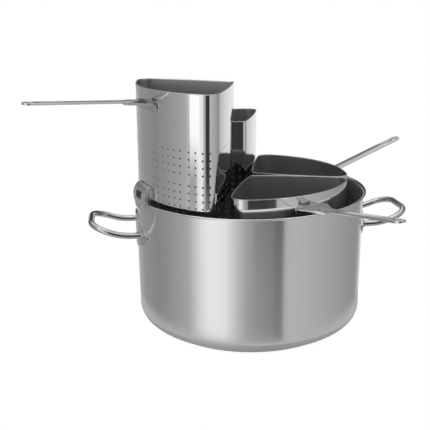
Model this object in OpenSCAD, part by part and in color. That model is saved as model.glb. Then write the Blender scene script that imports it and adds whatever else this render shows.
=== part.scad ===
// Pasta pot with four quarter-sector strainer inserts, millimetres, +Z up.
// Origin: centre of the base, on the surface that the pot stands on.
// Two inserts hang seated on the right, one at the front left drains hooked on
// the rim, and one at the back left is part way out.

/* [Pot] */
// Clearance between the pot's wall and an insert's outer arc, were it centred in the pot
wall_clearance = 14; // [14:0.1:16]
// Height from the surface to the top of the pouring lip
pot_height = 215; // [200:1:260]
// Thickness of the pot's sheet
pot_sheet = 1.2; // [0.8:0.1:2]
// Outer radius of the bend between floor and wall
knuckle_radius = 22; // [14:1:30]
// Outer radius of the curl that forms the pouring lip
lip_curl = 4.8; // [3:0.1:5]
// Radius of the bead on the edge of the lip
lip_bead = 0.9; // [0.6:0.1:1.4]

/* [Base] */
// How far the base's edge stays inside the start of the knuckle
base_inset = 2.2; // [1:0.1:20]
// Height of the sandwich base
base_height = 6; // [4:0.5:10]
// Thickness of the steel cap that wraps the base
base_sheet = 0.8; // [0.5:0.1:1.5]
// Radius of the cap's lower edge
base_edge = 2; // [1.2:0.1:3.5]

/* [Side handles] */
// Turn of the two side handles from the X axis, degrees
loop_turn = 19; // [0:1:45]
// Diameter of the handle rod
rod_dia = 9.6; // [7:0.1:12]
// Distance between the two legs of a handle
leg_spacing = 97; // [80:1:120]
// Depth of the legs below the top of the pouring lip
leg_drop = 57; // [50:1:95]
// Straight length of a leg beyond the mounting plate
leg_length = 6; // [3:0.5:20]
// Radius of the upward bend
rise_radius = 100; // [60:1:140]
// Slope of the grip above level, degrees
rise_angle = 20; // [8:1:28]
// Radius of the two grip corners
grip_corner = 31; // [20:1:38]

/* [Mounting plates] */
// Length of a mounting plate round the wall
plate_length = 150; // [130:1:170]
// Height of a mounting plate
plate_height = 54; // [36:1:70]
// Thickness of a mounting plate
plate_sheet = 2.4; // [1.5:0.1:4]
// Height of the weld bead round each leg
weld_height = 2.5; // [2:0.1:3]
// How far the weld bead spreads beyond the rod
weld_spread = 1.8; // [1:0.1:3]

/* [Insert shape] */
// Height of an insert
insert_height = 166; // [140:1:190]
// Thickness of an insert's sheet
insert_sheet = 1; // [0.6:0.1:1.5]
// Radius of the outer arc of the quarter sector
arc_radius = 166; // [150:0.5:170]
// How far the outer arc's centre lies behind the pot's axis
arc_setback = 4.7; // [2:0.1:12]
// Radius of the slightly bowed sides
side_radius = 670; // [500:5:1200]
// Distance from the pot's axis to the point where a side bows out furthest
side_touch_radius = 121; // [100:1:126]
// Gap between a side and the plane that parts two quarters
side_gap = 0.25; // [0.2:0.05:2]
// Radius of the two outer corners
corner_radius = 19.5; // [12:0.5:26]
// Radius of the inner corner
apex_radius = 6.5; // [5.5:0.1:10]

/* [Perforation] */
// Diameter of a drain hole
hole_dia = 2.9; // [2:0.1:4]
// Distance between the columns of holes inside a group
hole_pitch = 10.8; // [8:0.1:14]
// Distance between the last column of a group and the first of the next
group_step = 14.8; // [14:0.1:24]
// Distance between the rows of holes inside a group
row_pitch = 10.6; // [8:0.1:14]
// Distance between the top row of a group and the lowest of the next
row_step = 16.4; // [14:0.1:24]
// Holes in a row of a group
group_holes = 4; // [2:1:5]
// Groups stacked up the wall
group_rows = 2; // [1:1:2]
// Height of the lowest row above the insert's foot
first_row = 5.7; // [5:0.1:10]
// Distance of the first column before the middle of the outer arc
first_column = 8.4; // [0:0.1:12]

/* [Insert handle] */
// Depth of the bracket's top face below the insert's rim
bracket_drop = 18.5; // [14:0.5:24]
// Thickness of the bracket's sheet
bracket_sheet = 2.5; // [1.5:0.1:3]
// Width of the bracket where it meets the wall
bracket_width = 58; // [40:1:70]
// Reach of the bracket from the wall
bracket_reach = 36; // [32:0.5:50]
// Height of the bracket's downturned flange
flange_height = 10; // [6:0.5:16]
// Width of the handle strip
strip_width = 18; // [14:0.5:24]
// Thickness of the handle strip
strip_sheet = 3; // [2:0.1:4]
// Length of the strip's flat end that lies on the bracket
strip_tab = 16; // [10:0.5:20]
// Length of the sloping part of the strip
strip_length = 145; // [120:1:220]
// Diameter of the hanging hole
hang_hole = 10; // [6:0.1:12]
// Distance from the strip's tip to the hanging hole's centre
hang_inset = 11; // [9:0.5:16]
// Half width of the rim plate at the rim
rim_plate_half = 54; // [50:1:60]
// Depth to which the rim plate's arc would run
rim_plate_depth = 23; // [20:0.5:28]
// Thickness of the rim plate
rim_plate_sheet = 1.2; // [0.8:0.1:2]

/* [Bend of the strips] */
// Slope of the front right strip above level, degrees
front_right_slope = 8.5; // [1:0.5:20]
// Swing of the front right strip about its neck, degrees
front_right_swing = -5; // [-8:0.5:8]
// Slope of the back right strip above level, degrees
back_right_slope = 17; // [1:0.5:20]
// Swing of the back right strip about its neck, degrees
back_right_swing = -7; // [-8:0.5:8]
// Slope of the front left strip above level, degrees
front_left_slope = 3.5; // [1:0.5:20]
// Swing of the front left strip about its neck, degrees
front_left_swing = 1.5; // [-8:0.5:8]
// Slope of the back left strip above level, degrees
back_left_slope = 8.5; // [1:0.5:20]
// Swing of the back left strip about its neck, degrees
back_left_swing = 0; // [-8:0.5:8]

/* [Drain hook] */
// Width of the drain hook
hook_width = 46; // [30:1:56]
// Thickness of the hook's sheet
hook_sheet = 2; // [1.5:0.1:3]
// Stand-off of the hook's outer face from the insert's wall
hook_standoff = 12.4; // [12.2:0.1:12.6]
// Height of the hook's crown above the insert's foot
hook_crown = 22; // [22:0.5:34]
// Radius of the hook's crown, outside
hook_bend = 10; // [6:0.5:12]
// Depth of the rest that sits on the pot's rim, below the insert's foot
hook_rest = 3; // [2.8:0.1:6]
// Depth of the hook's tip below the rest
hook_tip = 11; // [6:0.5:16]
// Turn of the hook off the middle of the outer arc, degrees
hook_turn = -5; // [-6:0.5:0]
// Width of the window in the hook
window_width = 22; // [12:0.5:30]
// Height of the window in the hook
window_height = 10; // [6:0.5:12]

/* [Arrangement] */
// Gap that keeps resting pieces of different bodies apart
seat_gap = 0.3; // [0.2:0.05:1]
// Shift of the two seated inserts toward the left
seated_shift = 5.5; // [0:0.5:8]
// Shift of the two seated inserts toward the back
seated_drift = 1; // [0:0.5:4]
// Gap between the draining insert's hook and the outside of the pouring lip
drain_gap = 0.9; // [0.6:0.1:1.5]
// Shift of the draining insert along the rim, toward the back
drain_side = 2.6; // [2:0.1:3]
// Turn of the draining insert, degrees
drain_turn = -2.9; // [-3:0.1:-1]
// Lean of the draining insert about its own radius, degrees
drain_lean = -1.5; // [-2:0.1:0]
// Height by which the back left insert is drawn out
drawn_height = 82; // [60:1:100]
// Shift of the drawn insert toward the right
drawn_right = 2.3; // [2.2:0.1:2.6]
// Shift of the drawn insert toward the back
drawn_back = 8.7; // [8.4:0.1:9]
// Turn of the drawn insert, degrees
drawn_turn = 4.2; // [4:0.1:4.4]

/* [Hidden] */
$fn = 96;
// Facets of the wide cylinders that shape thin pieces
wide_facets = 240;
// How far a cut runs past the faces that it opens
overrun = 1;
// Clearance of the core inside its cap
core_gap = 0.1;
quarter = 90;
half_quarter = 45;
square_turn = 90;
full_turn = 360;

// Pot
pot_inner = arc_radius + wall_clearance;
pot_outer = pot_inner + pot_sheet;
lip_inner = lip_curl - pot_sheet;
lip_top = pot_height - lip_curl;
base_radius = pot_outer - knuckle_radius - base_inset;

// Side handles
rod_radius = rod_dia / 2;
leg_height = pot_height - leg_drop;
plate_face = pot_outer + plate_sheet;
leg_end = plate_face + leg_length;
lens_radius = (pow(plate_length / 2, 2) + pow(plate_height / 2, 2)) / plate_height;
lens_round_share = 0.94;
// Where legs and beads start, before the plate's curve trims them
weld_start = sqrt(pow(pot_outer, 2) - pow(leg_spacing / 2 + rod_dia, 2));
// Where the beads end
weld_reach = sqrt(pow(plate_face, 2) - pow(leg_spacing / 2 - rod_radius, 2)) + weld_height;

// Plan of a quarter sector, with its axis of symmetry along +X.
// Each arc is [centre, radius, start angle, sweep], and they follow on from one
// another counter-clockwise from the middle of the outer arc.
function polar(r, a) = [r * cos(a), r * sin(a)];
function angle_of(v) = atan2(v[1], v[0]);

arc_centre = [-arc_setback, 0];
side_line = polar(side_touch_radius, half_quarter);
side_centre = side_line + polar(side_radius + side_gap, half_quarter - quarter);
apex_x = side_centre[0] - sqrt(pow(side_radius - apex_radius, 2) - pow(side_centre[1], 2));
apex_centre = [apex_x, 0];

// Centre of a circle of radius corner_radius that touches the outer arc and a side from inside
corner_reach = arc_radius - corner_radius;
corner_side = side_radius - corner_radius;
centre_gap = norm(side_centre - arc_centre);
corner_along = (pow(corner_reach, 2) - pow(corner_side, 2) + pow(centre_gap, 2)) / (2 * centre_gap);
corner_across = sqrt(pow(corner_reach, 2) - pow(corner_along, 2));
centre_angle = angle_of(side_centre - arc_centre);
corner_centre = arc_centre + polar(corner_along, centre_angle)
    + polar(corner_across, centre_angle + quarter);

arc_end = angle_of(corner_centre - arc_centre);
corner_end = angle_of(corner_centre - side_centre);
side_end = angle_of(apex_centre - side_centre);

function flip(p) = [p[0], -p[1]];
plan_arcs = [
    [arc_centre, arc_radius, -arc_end, 2 * arc_end],
    [corner_centre, corner_radius, arc_end, corner_end - arc_end],
    [side_centre, side_radius, corner_end, side_end - corner_end],
    [apex_centre, apex_radius, side_end, full_turn - 2 * side_end],
    [flip(side_centre), side_radius, full_turn - side_end, side_end - corner_end],
    [flip(corner_centre), corner_radius, full_turn - corner_end, corner_end - arc_end]
];
insert_reach = arc_radius - arc_setback;

// Perforation: columns are spaced by arc length round the plan
function arc_length(arc) = arc[1] * arc[3] * PI / 180;
function run_before(i) = i == 0 ? 0 : run_before(i - 1) + arc_length(plan_arcs[i - 1]);
hole_radius = hole_dia / 2;
group_length = (group_holes - 1) * hole_pitch + group_step;
girth = run_before(len(plan_arcs));
// As many whole groups as fit round the plan; the plain strip that is left over lies on the
// outer arc, just before the first column
group_count = floor(girth / group_length);
group_start = arc_length(plan_arcs[0]) / 2 - first_column;
columns = [for (g = [0:group_count - 1], k = [0:group_holes - 1])
    (group_start + g * group_length + k * hole_pitch) % girth];
row_length = (group_holes - 1) * row_pitch + row_step;
rows = [for (g = [0:group_rows - 1], k = [0:group_holes - 1])
    first_row + g * row_length + k * row_pitch];
// Longest chord of the plan's arcs, and the most that one turns
chord_length = 12;
chord_turn = 8;

// Insert handle, with heights measured from the insert's foot
bracket_top = insert_height - bracket_drop;
bracket_under = bracket_top - bracket_sheet;
neck_x = insert_reach + bracket_reach;
tab_start = neck_x - strip_tab;
rim_disc = (pow(rim_plate_half, 2) + pow(rim_plate_depth, 2)) / (2 * rim_plate_depth);
rim_disc_z = insert_height - rim_plate_depth + rim_disc;

tip_chords = 20;

// Drain hook
hook_angle = 2 * asin(hook_width / 2 / arc_radius);
hook_outer = arc_radius + hook_standoff;
// How far the hook reaches to the side that the lean lowers
hook_side = hook_outer * sin(hook_turn + hook_angle / 2);
hook_inner = hook_outer - hook_sheet;
window_top = hook_crown - hook_bend;

// Shift that brings the draining insert's hook over the lip
lip_reach = pot_outer + lip_inner + lip_bead;
drain_out = lip_reach + drain_gap - (hook_inner - arc_setback);
drain_axis = 2 * quarter + half_quarter + drain_turn;
drain_shift = polar(drain_out, drain_axis) + polar(drain_side, drain_axis - quarter);

// Places of the four inserts: [quadrant, turn, shift x, shift y, lean, foot height]
seated_foot = pot_height + seat_gap - bracket_under;
drain_foot = pot_height + seat_gap + hook_rest - hook_side * sin(drain_lean);
drawn_foot = seated_foot + drawn_height;
front_right = [3 * quarter, 0, -seated_shift, seated_drift, 0, seated_foot];
back_right = [0, 0, -seated_shift, seated_drift, 0, seated_foot];
back_left = [quarter, drawn_turn, drawn_right, drawn_back, 0, drawn_foot];
front_left = [2 * quarter, drain_turn, drain_shift[0], drain_shift[1], drain_lean, drain_foot];

// Quarter ring in plan: from angle 0 to 90 about the origin
module quarter_ring(outer, inner) {
    intersection() {
        difference() {
            circle(outer);
            circle(inner);
        }
        square(outer);
    }
}

// Deep-drawn pot: flat floor, rounded knuckle, straight wall and rolled pouring lip
module pot_body() {
    color([0.72, 0.72, 0.72])
    rotate_extrude()
    union() {
        translate([0, base_height])
            square([pot_outer - knuckle_radius, pot_sheet]);
        translate([pot_outer - knuckle_radius, base_height + knuckle_radius])
            mirror([0, 1])
            quarter_ring(knuckle_radius, knuckle_radius - pot_sheet);
        translate([pot_inner, base_height + knuckle_radius])
            square([pot_sheet, lip_top - base_height - knuckle_radius]);
        translate([pot_outer + lip_inner, lip_top])
            mirror([1, 0])
            quarter_ring(lip_curl, lip_inner);
        translate([pot_outer + lip_inner, pot_height - lip_bead])
            circle(lip_bead);
    }
}

// Aluminium disc sealed inside the base
module base_core() {
    color([0.62, 0.63, 0.65])
    translate([0, 0, base_sheet])
        cylinder(h = base_height - base_sheet, r = base_radius - base_sheet - core_gap);
}

// Steel cap pressed over the disc and joined to the pot's floor
module base_cap() {
    color([0.78, 0.78, 0.78])
    difference() {
        rotate_extrude()
        union() {
            square([base_radius - base_edge, base_height]);
            translate([0, base_edge])
                square([base_radius, base_height - base_edge]);
            translate([base_radius - base_edge, base_edge])
                circle(base_edge);
        }
        translate([0, 0, base_sheet])
            cylinder(h = base_height, r = base_radius - base_sheet);
    }
}

// Turns a side handle piece drawn at the +X wall to its own side
module at_side(side) {
    rotate([0, 0, loop_turn + side])
        children();
}

// Lens-shaped plate pressed to the curve of the wall
module mounting_plate() {
    difference() {
        intersection() {
            translate([0, 0, leg_height])
                rotate([square_turn, 0, square_turn])
                linear_extrude(height = plate_face + overrun)
                intersection() {
                    translate([0, lens_radius - plate_height / 2])
                        circle(lens_radius);
                    translate([0, plate_height / 2 - lens_radius])
                        circle(lens_radius);
                    circle(plate_length / 2 * lens_round_share);
                }
            cylinder(h = pot_height, r = plate_face, $fn = wide_facets);
        }
        translate([0, 0, -overrun])
            cylinder(h = pot_height + 2 * overrun, r = pot_outer, $fn = wide_facets);
    }
}

module left_plate() {
    color([0.74, 0.74, 0.74])
    at_side(2 * quarter) mounting_plate();
}

module right_plate() {
    color([0.74, 0.74, 0.74])
    at_side(0) mounting_plate();
}

// Frame of the sloping grip: origin where the bends end, X up the slope
module grip_plane() {
    translate([leg_end + rise_radius * sin(rise_angle), 0,
            leg_height + rise_radius * (1 - cos(rise_angle))])
        rotate([0, -rise_angle, 0])
        children();
}

// One leg, its upward bend and one grip corner, on the +Y side
module half_loop() {
    // The leg ends on the plate's face
    difference() {
        translate([weld_start, leg_spacing / 2, leg_height])
            rotate([0, square_turn, 0])
            cylinder(h = leg_end - weld_start, r = rod_radius);
        cylinder(h = pot_height, r = plate_face, $fn = wide_facets);
    }
    translate([leg_end, leg_spacing / 2, leg_height + rise_radius])
        rotate([square_turn, 0, 0])
        rotate([0, 0, -square_turn])
        rotate_extrude(angle = rise_angle)
        translate([rise_radius, 0])
        circle(rod_radius);
    grip_plane()
        translate([0, leg_spacing / 2 - grip_corner, 0])
        rotate_extrude(angle = quarter)
        translate([grip_corner, 0])
        circle(rod_radius);
}

// Loop of bent rod
module loop_handle() {
    half_loop();
    mirror([0, 1, 0]) half_loop();
    grip_plane()
        translate([grip_corner, grip_corner - leg_spacing / 2, 0])
        rotate([-square_turn, 0, 0])
        cylinder(h = leg_spacing - 2 * grip_corner, r = rod_radius);
}

module left_loop() {
    color([0.8, 0.8, 0.8])
    at_side(2 * quarter) loop_handle();
}

module right_loop() {
    color([0.8, 0.8, 0.8])
    at_side(0) loop_handle();
}

// Weld beads where the two legs meet a mounting plate
module leg_welds() {
    for (side = [-1, 1])
        difference() {
            translate([weld_start, side * leg_spacing / 2, leg_height])
                rotate([0, square_turn, 0])
                cylinder(h = weld_reach - weld_start, r = rod_radius + weld_spread);
            cylinder(h = pot_height, r = plate_face, $fn = wide_facets);
            translate([weld_start - overrun, side * leg_spacing / 2, leg_height])
                rotate([0, square_turn, 0])
                cylinder(h = weld_reach - weld_start + 2 * overrun, r = rod_radius);
        }
}

module left_welds() {
    color([0.7, 0.7, 0.7])
    at_side(2 * quarter) leg_welds();
}

module right_welds() {
    color([0.7, 0.7, 0.7])
    at_side(0) leg_welds();
}

// Puts an insert's piece, drawn with its foot at z = 0 and its axis along +X, in its place
module placed(place) {
    translate([place[2], place[3], place[5]])
        rotate([0, 0, place[0] + half_quarter + place[1]])
        rotate([place[4], 0, 0])
        children();
}

// Drain holes of one stretch of the wall, square to it
module stretch_holes(arc, run) {
    for (u = columns)
        if (u >= run && u < run + arc_length(arc))
            for (z = rows)
                translate(arc[0])
                rotate([0, 0, arc[2] + (u - run) / arc[1] * 180 / PI])
                translate([arc[1] - insert_sheet - overrun, 0, z])
                rotate([0, square_turn, 0])
                cylinder(h = insert_sheet + 2 * overrun, r = hole_radius, $fn = 24);
}

// Perforated wall of an insert, one sheet bent round the quarter sector
module insert_wall() {
    difference() {
        linear_extrude(height = insert_height)
            difference() {
                plan(0);
                plan(insert_sheet);
            }
        for (i = [0:len(plan_arcs) - 1])
            stretch_holes(plan_arcs[i], run_before(i));
    }
}

// Plan of an insert, drawn in by inset, with its arcs in short chords
function chords(arc) = max(ceil(abs(arc[3]) / chord_turn), ceil(arc_length(arc) / chord_length));
function arc_points(arc, inset) = [for (i = [0:chords(arc) - 1])
    arc[0] + polar(arc[1] - inset, arc[2] + arc[3] * i / chords(arc))];

module plan(inset) {
    polygon([for (arc = plan_arcs) each arc_points(arc, inset)]);
}

// Rows of drain holes in the floor, in the same groups as the wall's
floor_lines = [for (g = [0:group_holes - 1], k = [0:group_holes - 1])
    (g - group_holes / 2) * group_length + k * hole_pitch + group_step / 2];
floor_margin = insert_sheet + 2 * hole_dia;

function inside(p, m) =
    norm(p - arc_centre) < arc_radius - m
    && norm(p - side_centre) < side_radius - m
    && norm(p - flip(side_centre)) < side_radius - m
    && (angle_of(p - arc_centre) < arc_end || norm(p - corner_centre) < corner_radius - m)
    && (angle_of(p - arc_centre) > -arc_end || norm(p - flip(corner_centre)) < corner_radius - m)
    || (abs(p[1]) < corner_centre[1] && p[0] > apex_x && p[0] < corner_centre[0]
        && norm(p - side_centre) < side_radius - m && norm(p - flip(side_centre)) < side_radius - m);

// Perforated floor, set inside the wall's foot
module insert_floor() {
    linear_extrude(height = insert_sheet)
    difference() {
        plan(insert_sheet);
        for (x = floor_lines, y = floor_lines)
            if (inside([x + insert_reach / 2, y], floor_margin))
                translate([x + insert_reach / 2, y])
                circle(hole_radius);
    }
}

// Shell that lies on the outer arc of the wall
module on_arc(sheet, z_low, z_high) {
    translate(arc_centre)
    difference() {
        translate([0, 0, z_low])
            cylinder(h = z_high - z_low, r = arc_radius + sheet, $fn = wide_facets);
        translate([0, 0, z_low - overrun])
            cylinder(h = z_high - z_low + 2 * overrun, r = arc_radius, $fn = wide_facets);
    }
}

// Half-moon plate that stiffens the rim above the bracket
module insert_rim_plate() {
    intersection() {
        on_arc(rim_plate_sheet, bracket_top, insert_height);
        translate([0, 0, rim_disc_z])
            rotate([0, square_turn, 0])
            cylinder(h = arc_radius + overrun * 2, r = rim_disc);
    }
}

// Fan-shaped bracket with a flange turned down against the wall
module insert_bracket() {
    difference() {
        translate([0, 0, bracket_under])
            linear_extrude(height = bracket_sheet)
            polygon([
                [insert_reach - bracket_reach / 2, -bracket_width / 2],
                [insert_reach, -bracket_width / 2],
                [neck_x, -strip_width / 2],
                [neck_x, strip_width / 2],
                [insert_reach, bracket_width / 2],
                [insert_reach - bracket_reach / 2, bracket_width / 2]
            ]);
        translate(arc_centre)
            cylinder(h = insert_height, r = arc_radius);
    }
    intersection() {
        on_arc(bracket_sheet, bracket_under - flange_height, bracket_under);
        translate([0, -bracket_width / 2, 0])
            cube([neck_x, bracket_width, insert_height]);
    }
}

// Side view of the strip: flat tab, then the slope
module strip_profile(slope) {
    strip_rise = strip_length * sin(slope);
    strip_run = strip_length * cos(slope);
    polygon([
        [tab_start, bracket_top],
        [neck_x, bracket_top],
        [neck_x + strip_run, bracket_top + strip_rise],
        [neck_x + strip_run - strip_sheet * sin(slope),
            bracket_top + strip_rise + strip_sheet * cos(slope)],
        [neck_x - strip_sheet * tan(slope / 2), bracket_top + strip_sheet],
        [tab_start, bracket_top + strip_sheet]
    ]);
}

// Long handle: a flat strip with a round end and a hanging hole, swung about the bracket's neck
module insert_handle(slope, swing) {
    translate([neck_x, 0, 0])
    rotate([0, 0, swing])
    translate([-neck_x, 0, 0])
    difference() {
        intersection() {
            translate([0, strip_width, 0])
                rotate([square_turn, 0, 0])
                linear_extrude(height = 2 * strip_width)
                strip_profile(slope);
            strip_outline(slope);
        }
        strip_frame(slope)
            translate([strip_length - hang_inset, 0, -overrun])
            cylinder(h = strip_sheet + 2 * overrun, r = hang_hole / 2);
    }
}

// Frame of the sloping strip: origin at the bend, X along its underside
module strip_frame(slope) {
    translate([neck_x, 0, bracket_top])
        rotate([0, -slope, 0])
        children();
}

// Outline of the strip, with a half-round tip
module strip_outline(slope) {
    tip = strip_length - strip_width / 2;
    strip_frame(slope)
        translate([0, 0, -strip_length])
        linear_extrude(height = 2 * strip_length)
        polygon([
            [-strip_length, -strip_width / 2],
            for (i = [0:tip_chords]) [tip, 0] + polar(strip_width / 2, 2 * quarter * i / tip_chords - quarter),
            [-strip_length, strip_width / 2]
        ]);
}

// Section of the hook, X outward from the arc's centre and Y up from the insert's foot
module hook_profile() {
    // leg on the wall
    translate([arc_radius, 0])
        square([hook_sheet, hook_crown - hook_sheet]);
    // crown
    translate([arc_radius, hook_crown - hook_sheet])
        square([hook_standoff - hook_bend, hook_sheet]);
    translate([hook_outer - hook_bend, hook_crown - hook_bend])
        quarter_ring(hook_bend, hook_bend - hook_sheet);
    // outer leg
    translate([hook_inner, -hook_rest - hook_tip])
        square([hook_sheet, hook_crown - hook_bend + hook_rest + hook_tip]);
}

// Rest that sits on the pot's rim, folded inward from the outer leg
module hook_shelf() {
    translate([arc_radius - hook_sheet, -hook_rest])
        square([hook_inner - arc_radius + hook_sheet, hook_sheet]);
}

// Hook that hangs the insert on the pot's rim to drain
module insert_hook() {
    translate(arc_centre)
    difference() {
        rotate([0, 0, hook_turn - hook_angle / 2])
            rotate_extrude(angle = hook_angle)
            union() {
                hook_profile();
                hook_shelf();
            }
        rotate([0, 0, hook_turn])
            translate([arc_radius + hook_sheet + overrun, -window_width / 2, window_top - window_height])
            cube([hook_standoff, window_width, window_height]);
    }
}

module front_right_wall() { color([0.76, 0.76, 0.77]) placed(front_right) insert_wall(); }
module front_right_floor() { color([0.7, 0.7, 0.71]) placed(front_right) insert_floor(); }
module front_right_rim_plate() { color([0.8, 0.8, 0.81]) placed(front_right) insert_rim_plate(); }
module front_right_bracket() { color([0.66, 0.66, 0.67]) placed(front_right) insert_bracket(); }
module front_right_handle() {
    color([0.82, 0.82, 0.82]) placed(front_right) insert_handle(front_right_slope, front_right_swing);
}
module front_right_hook() { color([0.68, 0.68, 0.69]) placed(front_right) insert_hook(); }

module back_right_wall() { color([0.76, 0.76, 0.77]) placed(back_right) insert_wall(); }
module back_right_floor() { color([0.7, 0.7, 0.71]) placed(back_right) insert_floor(); }
module back_right_rim_plate() { color([0.8, 0.8, 0.81]) placed(back_right) insert_rim_plate(); }
module back_right_bracket() { color([0.66, 0.66, 0.67]) placed(back_right) insert_bracket(); }
module back_right_handle() {
    color([0.82, 0.82, 0.82]) placed(back_right) insert_handle(back_right_slope, back_right_swing);
}
module back_right_hook() { color([0.68, 0.68, 0.69]) placed(back_right) insert_hook(); }

module front_left_wall() { color([0.76, 0.76, 0.77]) placed(front_left) insert_wall(); }
module front_left_floor() { color([0.7, 0.7, 0.71]) placed(front_left) insert_floor(); }
module front_left_rim_plate() { color([0.8, 0.8, 0.81]) placed(front_left) insert_rim_plate(); }
module front_left_bracket() { color([0.66, 0.66, 0.67]) placed(front_left) insert_bracket(); }
module front_left_handle() {
    color([0.82, 0.82, 0.82]) placed(front_left) insert_handle(front_left_slope, front_left_swing);
}
module front_left_hook() { color([0.68, 0.68, 0.69]) placed(front_left) insert_hook(); }

module back_left_wall() { color([0.76, 0.76, 0.77]) placed(back_left) insert_wall(); }
module back_left_floor() { color([0.7, 0.7, 0.71]) placed(back_left) insert_floor(); }
module back_left_rim_plate() { color([0.8, 0.8, 0.81]) placed(back_left) insert_rim_plate(); }
module back_left_bracket() { color([0.66, 0.66, 0.67]) placed(back_left) insert_bracket(); }
module back_left_handle() {
    color([0.82, 0.82, 0.82]) placed(back_left) insert_handle(back_left_slope, back_left_swing);
}
module back_left_hook() { color([0.68, 0.68, 0.69]) placed(back_left) insert_hook(); }

pot_body();
base_core();
base_cap();
left_plate();
right_plate();
left_loop();
right_loop();
left_welds();
right_welds();
front_right_wall();
front_right_floor();
front_right_rim_plate();
front_right_bracket();
front_right_handle();
front_right_hook();
back_right_wall();
back_right_floor();
back_right_rim_plate();
back_right_bracket();
back_right_handle();
back_right_hook();
front_left_wall();
front_left_floor();
front_left_rim_plate();
front_left_bracket();
front_left_handle();
front_left_hook();
back_left_wall();
back_left_floor();
back_left_rim_plate();
back_left_bracket();
back_left_handle();
back_left_hook();
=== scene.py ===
"""Wide pasta pot with four quarter-sector strainer inserts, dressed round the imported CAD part.

Lengths inside the classes are millimetres in the part's frame, and meshes are made in metres.
"""
import logging
import math
from dataclasses import dataclass, field
from enum import Enum
from typing import Callable, Iterable, Optional, Sequence

import bmesh
import bpy
from bpy.types import ID, Material, Mesh, NodeOutputs, NodeTree, Object
from bpy.types import NodeSocket as Socket
from mathutils import Matrix, Vector


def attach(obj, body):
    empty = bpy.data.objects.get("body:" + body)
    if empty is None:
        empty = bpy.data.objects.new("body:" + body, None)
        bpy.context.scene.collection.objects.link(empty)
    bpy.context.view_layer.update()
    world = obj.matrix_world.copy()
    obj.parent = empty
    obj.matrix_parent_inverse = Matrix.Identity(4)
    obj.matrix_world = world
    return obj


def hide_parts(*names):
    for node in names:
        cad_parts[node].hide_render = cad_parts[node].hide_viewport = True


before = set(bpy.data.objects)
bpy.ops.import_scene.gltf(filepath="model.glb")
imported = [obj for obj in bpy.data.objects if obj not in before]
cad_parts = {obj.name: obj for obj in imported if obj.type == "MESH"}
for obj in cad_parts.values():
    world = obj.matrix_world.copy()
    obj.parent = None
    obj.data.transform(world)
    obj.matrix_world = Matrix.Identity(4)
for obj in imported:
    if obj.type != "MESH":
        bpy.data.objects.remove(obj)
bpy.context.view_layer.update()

LOG = logging.getLogger("pasta_pot")
MM = 0.001
# Points nearer than this are one, shorter slivers go, and steeper folds stay sharp
MERGE = 0.004 * MM
SLIVER = 0.002 * MM
SHARP = math.radians(38)
SURFACE_UV = "surface"
INNER_SIDE = "inner_side"
# Angle of one insert's sector in degrees
SECTOR = 90
Flat = tuple[float, float]
Point = tuple[float, float, float]


class Slot(Enum):
    """Material slots of the record."""

    POT = "pot_steel"
    BASE = "base_steel"
    PLATE = "plate_steel"
    ROD = "rod_steel"
    WELD = "weld"
    INSERT = "insert_steel"
    BRACKET = "bracket_steel"
    HANDLE = "handle_steel"


class Grain(Enum):
    """Ways in which grinding or rolling lines run on a piece."""

    ROUND = "rings about the pot's axis"
    ALONG_U = "lines along the surface's U"
    ALONG_V = "lines along the surface's V"
    NONE = "no direction"


# Helpers

def linear(hex_colour: str) -> tuple[float, ...]:
    """Turns an sRGB hex colour into linear RGBA."""
    channels = [int(hex_colour[i:i + 2], 16) / 255 for i in (0, 2, 4)]
    return *(c / 12.92 if c <= 0.04045 else ((c + 0.055) / 1.055) ** 2.4 for c in channels), 1.0


class Nodes:
    """A node tree in the making."""

    def __init__(self, tree: NodeTree) -> None:
        """Starts with no nodes.

        Args:
            tree: Tree that receives the nodes. What it holds is removed.
        """
        tree.nodes.clear()
        self.tree = tree

    def add(self, kind: str, inputs: Optional[dict] = None, **settings: object) -> NodeOutputs:
        """Adds a node with its settings and links.

        Args:
            kind: Blender's identifier of the node.
            inputs: A value, an output socket or a list of them for each input, by name or number.
            **settings: Attributes of the node, set before its inputs.

        Returns:
            The new node's outputs.
        """
        node = self.tree.nodes.new(kind)
        for name, value in settings.items():
            setattr(node, name, value)
        for key, value in (inputs or {}).items():
            for part in value if isinstance(value, list) else [value]:
                if isinstance(part, Socket):
                    self.tree.links.new(part, node.inputs[key])
                else:
                    node.inputs[key].default_value = part
        return node.outputs


def arc_points(centre: Sequence[float], radius: float, start: float, end: float,
               count: int) -> list[Flat]:
    """Samples a circular arc in a plane.

    Args:
        centre: Centre of the arc.
        radius: Radius.
        start: First angle in degrees.
        end: Last angle in degrees.
        count: Number of chords.

    Returns:
        count + 1 points, both ends included.
    """
    angles = [math.radians(start + (end - start) * i / count) for i in range(count + 1)]
    return [(centre[0] + radius * math.cos(a), centre[1] + radius * math.sin(a)) for a in angles]


def raw_mesh(name: str, points: Sequence[Point], faces: Sequence[tuple[int, ...]] = ()) -> Mesh:
    """Makes a mesh in metres.

    Args:
        name: Name of the mesh.
        points: Its points in millimetres.
        faces: Its faces, as numbers of points.

    Returns:
        The mesh.
    """
    mesh = bpy.data.meshes.new(name)
    mesh.from_pydata([Vector(p) * MM for p in points], [], faces)
    return mesh


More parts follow.
